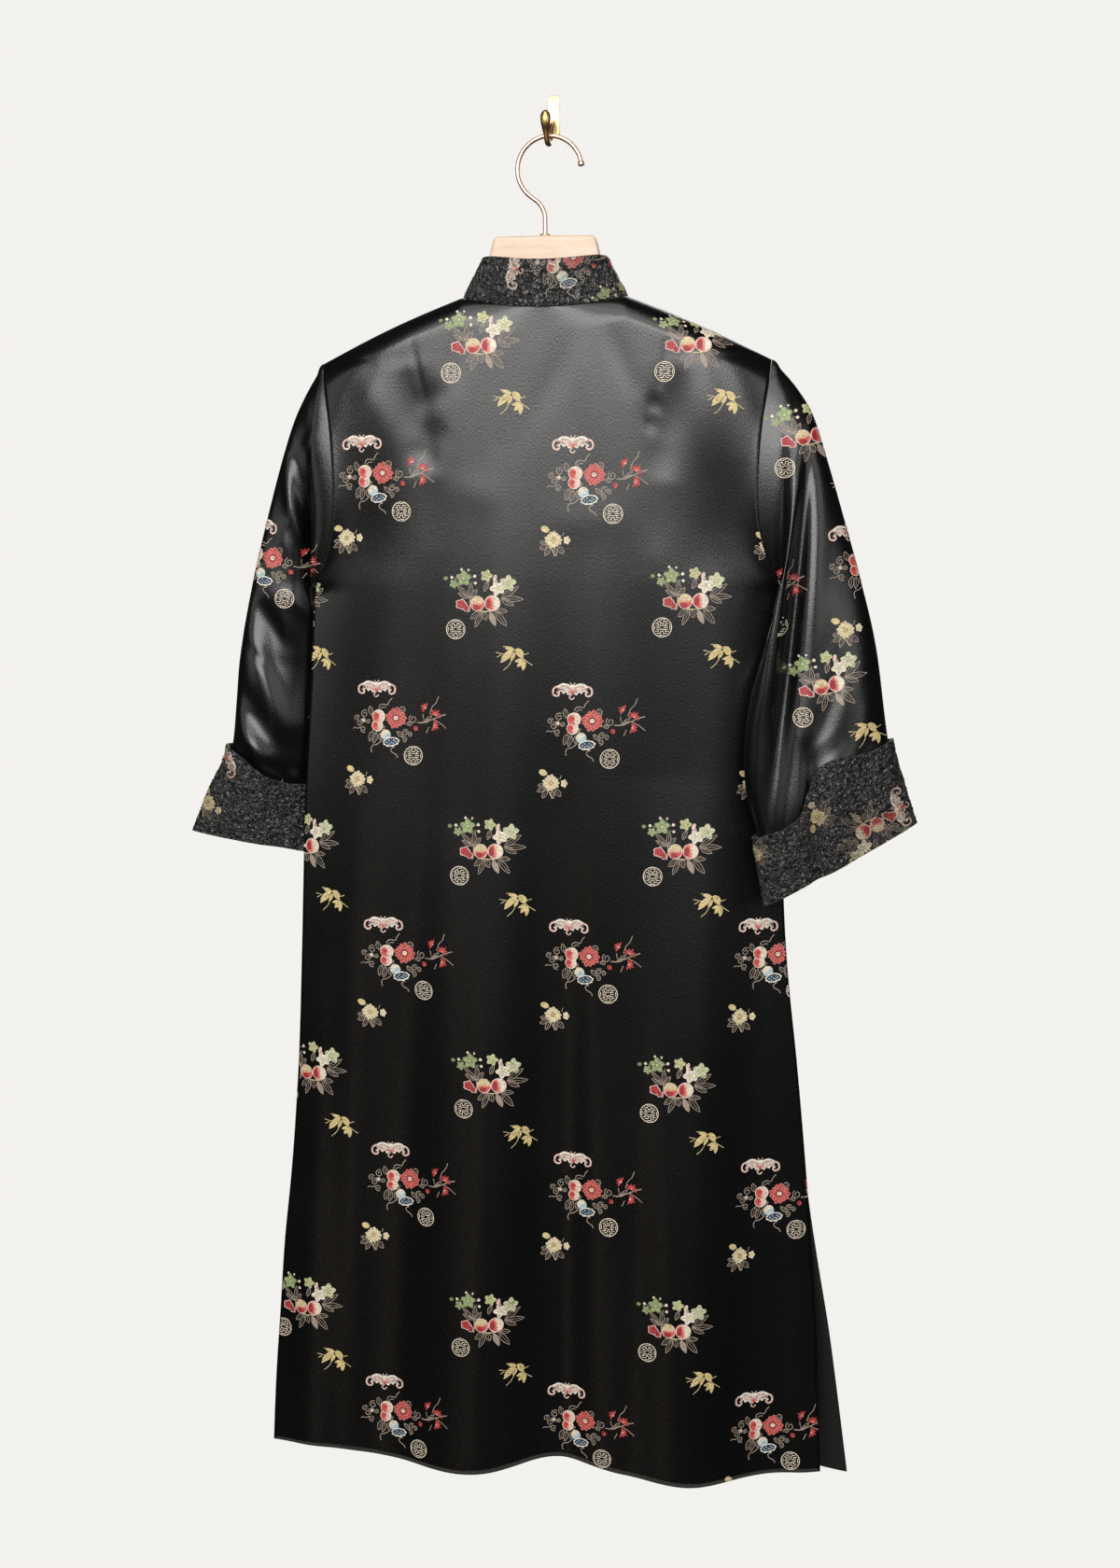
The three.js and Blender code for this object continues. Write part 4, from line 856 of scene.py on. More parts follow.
def collar_point(angle, rise):
    """A place on the collar: angle from the middle of the back, rise from its foot to its edge."""
    angle, rise = np.broadcast_arrays(np.asarray(angle, float), np.asarray(rise, float))
    sin, cos = np.sin(angle), np.cos(angle)
    distance = NECK["half_width"] * np.abs(sin)
    behind, before = neck_line(distance, -1), neck_line(distance, 1)
    foot_depth, foot_z = (np.where(cos > 0, b, f) for b, f in zip(behind, before))
    top_depth = np.where(cos > 0, COLLAR["top_back"], COLLAR["top_front"]) * np.abs(cos)
    to_end = (np.pi - np.abs(angle)) * COLLAR["top_half_width"] - COLLAR["gap"] / 2
    corner = clamp(1 - to_end / COLLAR["corner_radius"])
    height = COLLAR["height"] - COLLAR["corner_drop"] * (1 - np.sqrt(1 - corner**2))
    share = rise * height / COLLAR["height"]
    x = mix(NECK["half_width"], COLLAR["top_half_width"], share) * sin
    depth = mix(foot_depth, top_depth, share)
    z = foot_z + SEAM_GAP + rise * height * mix(COLLAR["side_share"], 1, np.abs(cos))
    return np.stack([HANG_X + x, HANG_Y + np.where(cos > 0, -1, 1) * depth, z], axis=-1)


collar_end = np.pi - COLLAR["gap"] / 2 / COLLAR["top_half_width"]
collar_angles = np.linspace(-collar_end, collar_end, COLLAR["columns"])
points = collar_point(collar_angles[None, :], np.linspace(1, 0, COLLAR["rows"])[:, None])
u = np.cumsum(np.linalg.norm(np.diff(points, axis=1, prepend=points[:, :1]), axis=-1), axis=1)
v = np.cumsum(np.linalg.norm(np.diff(points, axis=0, prepend=points[:1]), axis=-1), axis=0)
centre = COLLAR["columns"] // 2
collar_flat = np.stack([u - u[:, centre:centre + 1], -v], axis=-1) / 1000
bumps = crinkle(collar_flat[..., 0] * 1000, collar_flat[..., 1] * 1000, CRINKLE["cell"])
points = raised(points, CRINKLE["rise"] * (bumps - CRINKLE["level"]), False)
collar = cloth_piece("collar_shell", points, collar_flat, [crepe, crepe], DOUBLE_CLOTH,
                     outwards=(-1, 0, 0))
panels["collar_shell"] = (collar, points, collar_flat)
carried(collar, "reversed_brocade", "collar")

# ------------------------------------------------------------------ woven flowers, fruit and rounds
# Extra wefts of coloured floss float over the satin where a figure needs them. Six figures repeat in
# half-dropped rows over every panel, and are cut through wherever a panel ends.
FLOSS = dict(cream="efe4cf", gold="d9c998", taupe="a99a8c", coral="d8564e", rose="e39a8e", red="a5262c",
             pink="ecccc4", sky="b3d0da", navy="223650", sage="bccb9c", moss="7f9160", straw="e0cd92",
             milk="f6f1e4")
# How far each level of a figure rises, how far a figure stands off the satin and off the crinkled side,
# and how finely its strokes and patches are divided.
LEVEL, FACE_LIFT, CRINKLED_LIFT = 0.07, 0.22, 0.5
STROKE_STEP, PATCH_STEP = 1.7, 2.6


class Figure:
    """A woven figure, laid flat in millimetres. Its strokes and patches each have a level."""

    def __init__(self):
        self.points, self.faces, self.colours = [], [], []

    def add(self, points, faces, colours, level):
        start = len(self.points)
        self.points += [(x, y, level * LEVEL) for x, y in points]
        self.faces += [[start + k for k in face] for face in faces]
        self.colours += colours

    def stroke(self, path, width, colour, level=0, pointed=False):
        """A band of floss along a smooth path."""
        path = np.array([(x, y, 0) for x, y in path], float)
        length = np.linalg.norm(np.diff(path, axis=0), axis=1).sum()
        line = through(path, max(3, int(length / STROKE_STEP) + 2))[:, :2]
        ahead = np.gradient(line, axis=0)
        ahead /= np.linalg.norm(ahead, axis=1)[:, None]
        side = np.stack([-ahead[:, 1], ahead[:, 0]], axis=1) * width / 2
        if pointed:
            side *= np.sqrt(np.clip(np.sin(np.linspace(0.06, np.pi - 0.06, len(line))), 0, 1))[:, None]
        count = len(line)
        self.add(np.concatenate([line - side, line + side]),
                 [(k, k + 1, count + k + 1, count + k) for k in range(count - 1)],
                 [ink(FLOSS[colour])] * (2 * count), level)

    def patch(self, outline, colour, level=0, second=None, toward=None):
        """A filled outline. A second colour comes in towards an angle, or else towards the middle."""
        outline = np.asarray(outline, float)
        middle = outline.mean(axis=0)
        reach = np.linalg.norm(outline - middle, axis=1).max()
        rings = max(1, int(reach / PATCH_STEP + 0.5))
        points = np.concatenate(
            [middle + (outline - middle) * (k / rings) for k in range(rings, 0, -1)] + [[middle]])
        size = len(outline)
        faces = [(r * size + k, r * size + (k + 1) % size, (r + 1) * size + (k + 1) % size,
                  (r + 1) * size + k) for r in range(rings - 1) for k in range(size)]
        inner = (rings - 1) * size
        faces += [(inner + k, inner + (k + 1) % size, rings * size) for k in range(size)]
        if toward is None:
            share = 1 - np.linalg.norm(points - middle, axis=1) / reach
        else:
            turn = math.radians(toward)
            share = 0.5 + (points - middle) @ (math.cos(turn), math.sin(turn)) / reach
        one, two = np.array(ink(FLOSS[colour])), np.array(ink(FLOSS[second or colour]))
        colours = [tuple(mix(one, two, ease((part - 0.3) / 0.5))) for part in share]
        self.add(points, faces, colours, level)

    def disc(self, x, y, wide, high, colour, level=0, lobes=0, depth=0.0, turn=0.0, sides=24, **more):
        """A round or lobed patch."""
        a = np.linspace(0, 2 * np.pi, sides + 1)[:-1]
        r = 1 - depth * (0.5 - 0.5 * np.cos(lobes * a)) if lobes else np.ones(sides)
        px, py, t = wide * r * np.cos(a), high * r * np.sin(a), math.radians(turn)
        around = [x + px * math.cos(t) - py * math.sin(t), y + px * math.sin(t) + py * math.cos(t)]
        self.patch(np.stack(around, axis=1), colour, level, **more)

    def petal(self, x, y, turn, start, end, wide, colour, level=0, second=None, edge=None):
        """A pointed petal that leaves a middle at an angle."""
        t = math.radians(turn)
        low, high = mix(start, end, 0.35), mix(start, end, 0.75)
        shape = [(start, 0), (low, wide / 2), (high, wide / 2.2), (end, 0), (high, -wide / 2.2),
                 (low, -wide / 2)]
        shape = [(x + a * math.cos(t) - b * math.sin(t), y + a * math.sin(t) + b * math.cos(t))
                 for a, b in shape]
        self.patch(shape, colour, level, second, turn)
        if edge:
            self.stroke(shape[1:6], 0.34, edge, level + 0.5)

    def many_petals(self, x, y, radius, count, colour, second, centre, core, edge):
        """A chrysanthemum of two rings of pointed petals."""
        for ring, (start, end, level) in enumerate([(0.3, 1.0, 1), (0.18, 0.7, 2)]):
            for k in range(count):
                self.petal(x, y, 360 * (k + ring / 2) / count, start * radius,
                           end * radius * (1 - 0.08 * (k % 3)), radius * (4.6 - 1.6 * ring) / count,
                           colour, level, second, edge)
        self.disc(x, y, core, core * 0.9, centre, 3, sides=12)
        self.stroke([(x - core * 0.6, y - core * 0.2), (x, y + core * 0.5), (x + core * 0.6, y - core * 0.2)],
                    0.5, "taupe", 4)

    def blossom(self, x, y, radius, colour, second, turn):
        """Five notched petals round a small middle, with floss veins."""
        for k in range(5):
            t = math.radians(turn + 72 * k)
            px, py = x + 0.52 * radius * math.cos(t), y + 0.52 * radius * math.sin(t)
            self.disc(px, py, 0.52 * radius, 0.44 * radius, colour, 1, lobes=3, depth=0.16,
                      turn=turn + 72 * k, sides=15, second=second)
            self.stroke([(x + 0.2 * radius * math.cos(t), y + 0.2 * radius * math.sin(t)),
                         (x + 0.75 * radius * math.cos(t), y + 0.75 * radius * math.sin(t))], 0.45, "moss", 2)
        self.disc(x, y, 0.16 * radius, 0.16 * radius, "gold", 3, sides=8)

    def leaf(self, base, tip, wide, colour="taupe", filled=None):
        """A leaf drawn by its edge and its rib, or filled."""
        base, tip = np.array(base, float), np.array(tip, float)
        ahead = tip - base
        side = np.array([-ahead[1], ahead[0]]) / np.linalg.norm(ahead) * wide / 2
        if filled:
            share = np.linspace(0, 1, 8)
            swell = np.sin(np.pi * share**0.85)[:, None]
            edge = base + ahead * share[:, None]
            self.patch(np.concatenate([edge + side * swell, (edge - side * swell)[-2:0:-1]]), filled)
        for way in (-1, 1):
            low, high = base + ahead * 0.35 + side * way, base + ahead * 0.75 + side * way * 0.75
            self.stroke([base, low, high, tip], 0.62, colour, 1)
        if not filled and wide > 2.5:
            self.stroke([base + ahead * 0.15, base + ahead * 0.8], 0.42, colour, 1)

    def scroll(self, x, y, radius, turn, way):
        """A cloud scroll that winds in on itself by a turn and a third."""
        bends = 1.35
        a = np.linspace(0, 2 * np.pi * bends, int(9 * bends) + 1)
        r = radius * (1 - 0.72 * a / a[-1])
        t = math.radians(turn) + way * a
        self.stroke(np.stack([x + r * np.cos(t), y + r * np.sin(t)], axis=1), 0.75, "taupe")


def peony_spray():
    f = Figure()
    # fruit with cream rims, the large flower, a bud and the lotus pod
    for x, y, r in ((-20.5, 5.6, 6.4), (-21.6, -2.8, 5.6)):
        f.disc(x, y, r, r, "cream", 1)
        f.disc(x - 0.5, y - 0.2, r * 0.82, r * 0.8, "pink", 2, second="coral", toward=200)
        f.disc(x - r * 0.3, y + r * 0.1, r * 0.4, r * 0.42, "coral", 3, second="red")
        for k in (-1, 0, 1):
            f.stroke([(x + r * 0.1, y + k * r * 0.3), (x + r * 0.68, y + k * r * 0.34)], 0.5, "cream", 4)
    f.many_petals(-3.7, 4.4, 10.4, 13, "red", "coral", "cream", 2.3, "rose")
    f.disc(-13.3, -11.4, 4.9, 4.9, "sky", 2, second="cream", toward=120)
    f.stroke([(-15, -13.8), (-14.2, -10.6), (-12, -9)], 0.5, "milk", 3)
    f.disc(-8, -17.9, 8.2, 4.6, "milk", 3, lobes=9, depth=0.12, turn=8, sides=54)
    f.disc(-8, -17.7, 6.7, 3.3, "navy", 4, turn=8)
    for x, y in ((-12, -18.4), (-9.9, -16.6), (-7.6, -18.4), (-5.4, -16.4), (-3.6, -17.6), (-9.7, -19.7),
                 (-5.8, -19)):
        f.disc(x, y, 0.75, 0.7, "sky", 5, sides=8)
    f.stroke([(-15.6, -18.2), (-11, -14.4), (-5, -14), (0, -16.4)], 0.9, "milk", 4)
    for turn, far in ((-58, 5.2), (-40, 5.8), (-22, 4.8)):
        f.petal(13, -3, turn, 0.4, far, 2.2, "red", 2, "coral")
    # cloud scrolls round them
    for x, y, r, turn, way in (
            (12.6, 3.6, 4.2, 120, 1), (9.4, -1.2, 2.7, 200, -1), (5.4, -9.2, 3.2, 40, 1),
            (9.6, -10.8, 2.6, 150, -1), (4.6, -15, 2.8, 250, 1), (-42.4, 3.6, 3.0, 20, 1),
            (-39.6, -0.6, 3.4, 90, -1), (-34.4, 7.6, 3.8, 60, 1), (-35.6, -6.6, 3.2, 300, -1),
            (-30.8, 1.2, 2.4, 180, 1), (2.0, 12.6, 3.4, 270, 1), (-15.8, -5.2, 2.3, 30, 1)):
        f.scroll(x, y, r, turn, way)
    f.disc(-35.4, 1.8, 2.6, 2.6, "taupe", 1, lobes=5, depth=0.4, sides=20, second="cream")
    f.stroke([(-38, -4.4), (-41, -6), (-44.4, -5.2), (-46, -6.4)], 0.7, "taupe")
    for base, tip, wide in (
            ((-27.5, 6.6), (-29.4, 15), 4.4), ((-26, -7.6), (-29.2, -18), 4.6),
            ((-22.5, -9), (-25, -19.5), 4.2), ((-19, -9.6), (-17.6, -17.4), 3.6),
            ((-2.4, -8), (3.4, -13.5), 3.4)):
        f.leaf(base, tip, wide)
    # four tendrils, then the branch that the small spiky flowers grow on
    for width, *path in (
            (0.8, (-20.3, 12.8), (-19.4, 16), (-15.4, 17), (-12.3, 16.2), (-10, 20.2), (-7.5, 22.8)),
            (0.7, (-18.6, 12.4), (-16.4, 14.4), (-13.4, 14)),
            (0.8, (-18, -17.6), (-22, -20.6), (-26, -21.4), (-27.4, -24.6), (-26.6, -28)),
            (0.8, (-4.3, -22.4), (-8.2, -24.6), (-6.6, -27.8), (-3, -29.6), (-1.4, -32.6)),
            (1.0, (16.6, 0.6), (22.2, 0.4), (31.1, 3.6), (38.3, 6.8), (44, 8.4)),
            (0.7, (32.7, 3.6), (38.3, 0.6), (44.7, -4.4)),
            (0.7, (28.5, 8.6), (31.1, 15.5), (34.3, 18.7), (36.9, 25)),
            (0.7, (27.9, -3.6), (25.5, -9.2)), (0.7, (21.8, 8.4), (22.6, 3.8))):
        f.stroke(path, width, "taupe")
    f.leaf((22, 0.6), (28.6, 3.8), 2.8)
    f.leaf((24.6, 2), (30.6, 7), 2.4)
    for x, y, r, aim, count in ((24.4, 14.2, 5.4, 150, 5), (34, 8, 6.2, 70, 6), (33, -2, 5.8, 350, 6)):
        for k in range(count):
            f.petal(x, y, aim + (k - (count - 1) / 2) * 40, 0.5, r * (1 - 0.14 * (k % 2)), 1.7, "coral", 2,
                    "red")
        f.disc(x, y, 0.9, 0.8, "pink", 3, sides=8)
    return f


def fruit_spray():
    f = Figure()
    # three fruit, the cut one first
    for x, y, wide, high, turn in ((-23.3, -9.2, 5.6, 5.2, 0), (-18.8, -12.6, 3.2, 3.8, 20)):
        f.disc(x, y, wide, high, "pink", 1, lobes=5, depth=0.2, turn=turn)
        f.disc(x, y, wide * 0.82, high * 0.82, "red", 2, lobes=5, depth=0.2, turn=turn)
    for dx in (-2.4, 0.2, 2.4):
        f.stroke([(-23.4 + dx, -6), (-22.8 + dx, -9), (-23.6 + dx, -12)], 0.5, "coral", 3)
    f.disc(-8.2, -8.6, 6.6, 7.0, "pink", 1)
    f.disc(-8.2, -8.2, 5.9, 6.2, "gold", 2, second="coral", toward=275)
    f.disc(-9.2, -12.2, 3.2, 2.5, "red", 3)
    for k in range(4):
        f.stroke([(-11.8 + 2.4 * k, -4.2), (-12.6 + 2.6 * k, -8.8)], 0.5, "cream", 4)
    f.disc(5.6, -8.1, 7.4, 7.2, "pink", 1)
    f.disc(5.9, -8.0, 6.5, 6.3, "cream", 2, second="coral", toward=190)
    f.disc(2.2, -8.6, 2.6, 4.2, "red", 3, turn=-12)
    for k in range(4):
        f.stroke([(4.6 + 1.9 * k, -3.4 - 0.5 * k), (4.0 + 2.0 * k, -8), (5.2 + 1.7 * k, -11.6)], 0.5,
                 "coral" if k < 2 else "milk", 4)
    # blossoms above them
    for blossom in ((-20.9, 14.2, 7.2, "moss", "sage", 18), (-30, 9.3, 4.3, "moss", "sage", 60),
                    (0.3, 16.6, 5.6, "sage", "straw", 0), (10.1, 5.4, 6.9, "cream", "milk", 40),
                    (19.9, 10, 7.5, "sage", "cream", 12)):
        f.blossom(*blossom)
    f.disc(7.9, 14.6, 1.7, 3.2, "pink", 2, turn=-20, sides=12)
    f.disc(9.2, 12.0, 1.4, 2.2, "taupe", 1, turn=30, sides=12)
    f.disc(-37.6, 14.2, 2.1, 1.8, "moss", 1, sides=10)
    for x, y, r in ((-22.8, 22.2, 1.2), (-16.4, 21.9, 1.0), (-31.9, 15.1, 1.4), (-10.6, 16.1, 1.5),
                    (-10.1, 9.9, 1.4)):
        f.disc(x, y, r, r, "cream", 2, sides=10)
        f.stroke([(x, y), (x * 0.6 - 8.4, y * 0.55 + 5.6)], 0.4, "taupe")
    # leaves on three sides
    for base, tip, wide in (
            ((-15.4, -3.4), (-27, 8), 3.4), ((-14.6, -3), (-14.2, 10), 3.8),
            ((-13.8, -3.2), (-8.4, 4.2), 3.6), ((-16.4, -3.8), (-26.2, 1.2), 3.2),
            ((13.6, -3.6), (29.6, 7), 4.4), ((14.4, -4), (34, -4.4), 4.6),
            ((13.8, -4.4), (25.2, -10), 4.4), ((-6, -15.4), (-14.4, -22.4), 4.4),
            ((-4.4, -16), (-10.4, -30), 4.2), ((-2.6, -16), (-0.2, -23.4), 4.6),
            ((8.4, -15.6), (18.8, -28.6), 5.0), ((9.6, -14.6), (19.4, -15.4), 3.8),
            ((1.4, 11.4), (-1.8, 2.6), 3.6)):
        f.leaf(base, tip, wide)
    f.leaf((3.2, -15.6), (8.6, -28.6), 5.0, filled="taupe")
    f.stroke([(-16, -16), (-14.9, -9), (-15.2, -2)], 1.3, "taupe")
    f.stroke([(-7, -15.2), (0, -15.6), (8, -14.8)], 0.9, "gold", 1)
    return f


def woven_round():
    f = Figure()
    turns = np.linspace(0, 2 * np.pi, 33)
    f.stroke(np.stack([8.6 * np.cos(turns), 8.6 * np.sin(turns)], axis=1), 0.8, "cream")
    # a mirrored fret, which spells nothing
    for sx in (-1, 1):
        for sy in (-1, 1):
            for path in (((0, 7.0), (2.6, 7.0)), ((1.3, 5.3), (1.3, 3.4)), ((1.3, 5.3), (4.6, 5.3)),
                         ((3.2, 3.6), (3.2, 1.7)), ((3.2, 3.6), (6.2, 3.6)), ((0, 1.7), (5.0, 1.7)),
                         ((7.0, 2.2), (7.0, 0)), ((0, 3.4), (1.3, 3.4))):
                f.stroke([(sx * x, sy * y) for x, y in path], 0.62, "cream")
        f.stroke([(sx * 1.6, 0), (sx * 5.6, 0)], 0.62, "cream")
    return f


def bat():
    f = Figure()
    # both wings: the skin, the arm, the curled tip, the scalloped edge and its spots
    for way in (-1, 1):
        f.patch([(way * x, y) for x, y in (
            (0, 2.4), (4.4, 5.2), (9.4, 5.8), (13.8, 3.4), (13.4, -0.8), (10.6, 0.6), (8.4, -2.2), (5.8, 0),
            (3.6, -3), (0, -1.6))], "taupe", 0, second="pink")
        for width, colour, *path in (
                (1.8, "milk", (0, 2.6), (4.4, 5.2), (9.4, 5.8), (13.8, 3.2)),
                (1.7, "pink", (13.0, 4.0), (17.2, 2.0), (17.6, -3.4), (13.6, -5.0), (12.0, -2.4),
                 (14.4, -1.2)),
                (1.1, "milk", (12.6, -1.6), (10.4, 0.6), (8.2, -2.6), (5.8, -0.2), (3.6, -3.8),
                 (1.6, -1.8))):
            f.stroke([(way * x, y) for x, y in path], width, colour, 1)
        for x, y in ((11.0, 2.8), (7.6, 2.4), (4.6, 1.6)):
            f.disc(way * x, y, 0.95, 0.95, "milk", 2, sides=8)
            f.disc(way * x, y, 0.4, 0.4, "red", 3, sides=6)
        f.stroke([(way * 0.5, 4.4), (way * 2.2, 7.4)], 0.8, "pink", 2)
    f.disc(0, 0.4, 2.1, 4.0, "pink", 2, sides=14, second="coral", toward=270)
    f.disc(0, 4.4, 1.7, 1.5, "milk", 3, sides=10)
    f.stroke([(-0.6, -3.2), (-2.8, -6.2), (0.2, -8.0), (1.8, -5.8)], 1.1, "pink", 1)
    return f


def chrysanthemum():
    f = Figure()
    f.many_petals(0, 0, 8.2, 13, "gold", "straw", "straw", 1.6, "milk")
    f.disc(12.3, -0.4, 3.3, 4.0, "cream", 1, lobes=5, depth=0.25, second="straw")
    f.disc(-7.4, 9.4, 4.0, 2.8, "gold", 1, turn=-25, second="straw")
    f.stroke([(8.2, 3.4), (9.6, 7)], 0.6, "taupe")
    for base, tip, wide in (
            ((-5, -5), (-12.6, -8), 4.0), ((-3, -6), (-7.6, -14.4), 4.0), ((1.2, -7), (2.6, -14.6), 3.0),
            ((4, -6), (9.6, -12.6), 4.6), ((-6, -3), (-12, -2), 3.2)):
        f.leaf(base, tip, wide)
    f.stroke([(-2, -7), (1.6, -14.8)], 0.7, "gold", 1)
    return f


def bamboo():
    f = Figure()
    for base, tip, wide in (
            ((1, 7), (-6.4, 7.6), 2.6), ((2, 6.6), (-10, -2.4), 4.2), ((0.6, 4.6), (-10.6, -5.6), 3.6),
            ((3, 6.4), (9.8, -1.6), 4.0), ((3.4, 7), (10.4, 2.2), 3.4), ((2.6, 3.4), (-1.2, -4), 2.6),
            ((10.4, -3.4), (4.6, -9.4), 3.4), ((11, -3), (9.8, -12.6), 3.4), ((9.6, -2.6), (2.4, -4.6), 2.4)):
        f.leaf(base, tip, wide, "straw", "straw")
    for path in (((1, 6), (0, -2), (-3, -8), (-8, -12.6)), ((-6, 1.6), (-15, 3.6)), ((-10, 1.4), (-14, -0.6)),
                 ((-2, 8.6), (-8.4, 9)), ((10.8, -3), (18.4, -8.2)), ((2.4, 6), (7, 1), (11, -3)),
                 ((9, 1), (15, 3))):
        f.stroke(path, 0.65, "gold")
    return f


FIGURES = [peony_spray, fruit_spray, woven_round, bat, chrysanthemum, bamboo]
figures = bpy.data.collections.new("figures")
for number, draw in enumerate(FIGURES):
    f = draw()
    drawn = mesh_object(f"figure_{number}", f.points, f.faces, [])
    thread = drawn.data.color_attributes.new("thread", "FLOAT_COLOR", "POINT")
    thread.data.foreach_set("color", np.concatenate(
        [np.array(f.colours), np.ones((len(f.colours), 1))], axis=1).ravel())
    scene.collection.objects.unlink(drawn)
    figures.objects.link(drawn)

flosses = {}
for side, dull, full in (("face", (0.38, 0.35, 0.33), (0.88, 0.86, 0.83)),
                         ("reverse", (0.06, 0.055, 0.05), (0.50, 0.46, 0.40))):
    floss, tree = finish(f"floss_{side}", IOR=1.5, Sheen_Weight=0.1)
    strand = cloth_noise(tree, 220, 1900, 2.0)
    dyed = tree.node("ShaderNodeAttribute", {"attribute_name": "thread"}).outputs["Color"]
    shade = tree.ramp(strand, (0.34, dull), (0.60, full))
    tree.shade(Base_Color=tree.blend(0.9, dyed, shade, "MULTIPLY"), Roughness=0.42 + strand * 0.2,
               Normal=tree.bump(0.5, 0.0003, strand))
    flosses[side] = floss

weaving = bpy.data.node_groups.new("weave_in", "GeometryNodeTree")
inputs = {}
for label, kind in (("Places", "Geometry"), ("Panel", "Object"), ("Figures", "Collection"), ("Lift", "Float"),
                    ("Floss", "Material")):
    inputs[label] = weaving.interface.new_socket(name=label, in_out="INPUT", socket_type=f"NodeSocket{kind}")
weaving.interface.new_socket(name="Woven", in_out="OUTPUT", socket_type="NodeSocketGeometry")
tree = Tree(weaving)
given = tree.node("NodeGroupInput")


def made_by(kind, sockets=None, **settings):
    """The first output of a Geometry Nodes node."""
    return tree.node(kind, settings, sockets).outputs[0]


panel_mesh = tree.node("GeometryNodeObjectInfo", None, {"Object": given.outputs["Panel"]}).outputs["Geometry"]
choice = made_by("GeometryNodeCollectionInfo", {
    "Collection": given.outputs["Figures"], "Separate Children": True, "Reset Children": True})
which = made_by("GeometryNodeInputNamedAttribute", {"Name": "figure"}, data_type="INT")
turned = made_by("GeometryNodeInputNamedAttribute", {"Name": "turned"}, data_type="FLOAT_VECTOR")
laid = made_by("GeometryNodeInstanceOnPoints", {
    "Points": given.outputs["Places"], "Instance": choice, "Pick Instance": True, "Instance Index": which,
    "Rotation": turned})
single = made_by("GeometryNodeRealizeInstances", {"Geometry": laid})
flat_spot = made_by("GeometryNodeInputPosition")
noted = made_by("GeometryNodeStoreNamedAttribute", {"Geometry": single, "Name": "cloth", "Value": flat_spot},
                data_type="FLOAT2", domain="CORNER")
cloth_map = made_by("GeometryNodeInputNamedAttribute", {"Name": "cloth"}, data_type="FLOAT_VECTOR")
found = [tree.node("GeometryNodeSampleUVSurface", {"data_type": "FLOAT_VECTOR"}, {
    "Mesh": panel_mesh, "Value": made_by(kind), "UV Map": cloth_map, "Sample UV": flat_spot})
    for kind in ("GeometryNodeInputPosition", "GeometryNodeInputNormal")]
missed = made_by("FunctionNodeBooleanMath", {0: found[0].outputs["Is Valid"]}, operation="NOT")
cut = made_by("GeometryNodeDeleteGeometry", {"Geometry": noted, "Selection": missed}, domain="POINT")
height = tree.node("ShaderNodeSeparateXYZ", None, {"Vector": flat_spot}, "Z") + given.outputs["Lift"]
risen = made_by("ShaderNodeVectorMath", {"Vector": found[1].outputs["Value"], "Scale": height},
                operation="SCALE")
placed = made_by("ShaderNodeVectorMath", {0: found[0].outputs["Value"], 1: risen}, operation="ADD")
woven = made_by("GeometryNodeSetPosition", {"Geometry": cut, "Position": placed})
sealed = made_by("GeometryNodeRealizeInstances", {"Geometry": woven})
coloured = made_by("GeometryNodeSetMaterial", {"Geometry": sealed, "Material": given.outputs["Floss"]})
tree.node("NodeGroupOutput", None, {"Woven": coloured})


def spot(panel, x, z):
    """The flat coordinates, in millimetres, of a place on the side of a panel that shows."""
    _, points, flat = panels[panel]
    apart = (points[..., 0] - HANG_X - x) ** 2 + (points[..., 2] - z) ** 2
    column, half = np.arange(points.shape[1]), points.shape[1] // 2
    if "left_shell" in panel:
        apart = apart + np.where(column > half, 1e6, 0)
    elif "right_shell" in panel:
        apart = apart + np.where(column < half, 1e6, 0)
    elif panel == "collar_shell":
        apart = apart + np.where(np.abs(column - half) > half / 2, 1e6, 0)
    return flat[np.unravel_index(np.argmin(apart), apart.shape)] * 1000


# From the woven round of each spray: where the spray, its bat and its small flower or bamboo lie.
PEONY_PARTS = [(2, 0, 0), (0, -13.4, 30.3), (3, -36.1, 62.0), (4, -53.8, -23.1)]
FRUIT_PARTS = [(2, 0, 0), (1, 28.6, 32.0), (5, 52.6, -24.2)]
REPEAT = dict(across=190, down=224, half_across=46, half_down=119)


def weave(panel, places):
    """Weaves figures into a panel: rows of figure number, place on the flat cloth and turn."""
    crinkled = panel.startswith(("cuff", "collar"))
    host = bpy.data.meshes.new("places")
    host.from_pydata([(x / 1000, y / 1000, 0) for _, x, y, _ in places], [], [])
    host.attributes.new("figure", "INT", "POINT").data.foreach_set("value", [int(row[0]) for row in places])
    host.attributes.new("turned", "FLOAT_VECTOR", "POINT").data.foreach_set(
        "vector", np.array([(0, 0, math.radians(row[3])) for row in places]).ravel())
    cloth = panels[panel][0]
    work = link(bpy.data.objects.new("weaving", host))
    made = work.modifiers.new("weave_in", "NODES")
    made.node_group = weaving
    for label, value in (("Panel", cloth), ("Figures", figures),
                         ("Lift", (CRINKLED_LIFT if crinkled else FACE_LIFT) / 1000),
                         ("Floss", flosses["reverse" if crinkled else "face"])):
        made[inputs[label].identifier] = value
    cloth.modifiers["wall"].show_viewport = False
    result = bpy.data.meshes.new_from_object(work.evaluated_get(bpy.context.evaluated_depsgraph_get()))
    cloth.modifiers["wall"].show_viewport = True
    bpy.data.objects.remove(work)
    name = panel.rsplit("_", 1)[0] + "_figures"
    result.name = name
    result.shade_smooth()
    woven_piece = link(bpy.data.objects.new(name, result))
    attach(woven_piece, "root")


def sprays(kind, places):
    """Each spray with its round, small flower and bat, unturned."""
    return [(number, x + dx, y + dy, 0) for x, y in places for number, dx, dy in kind]


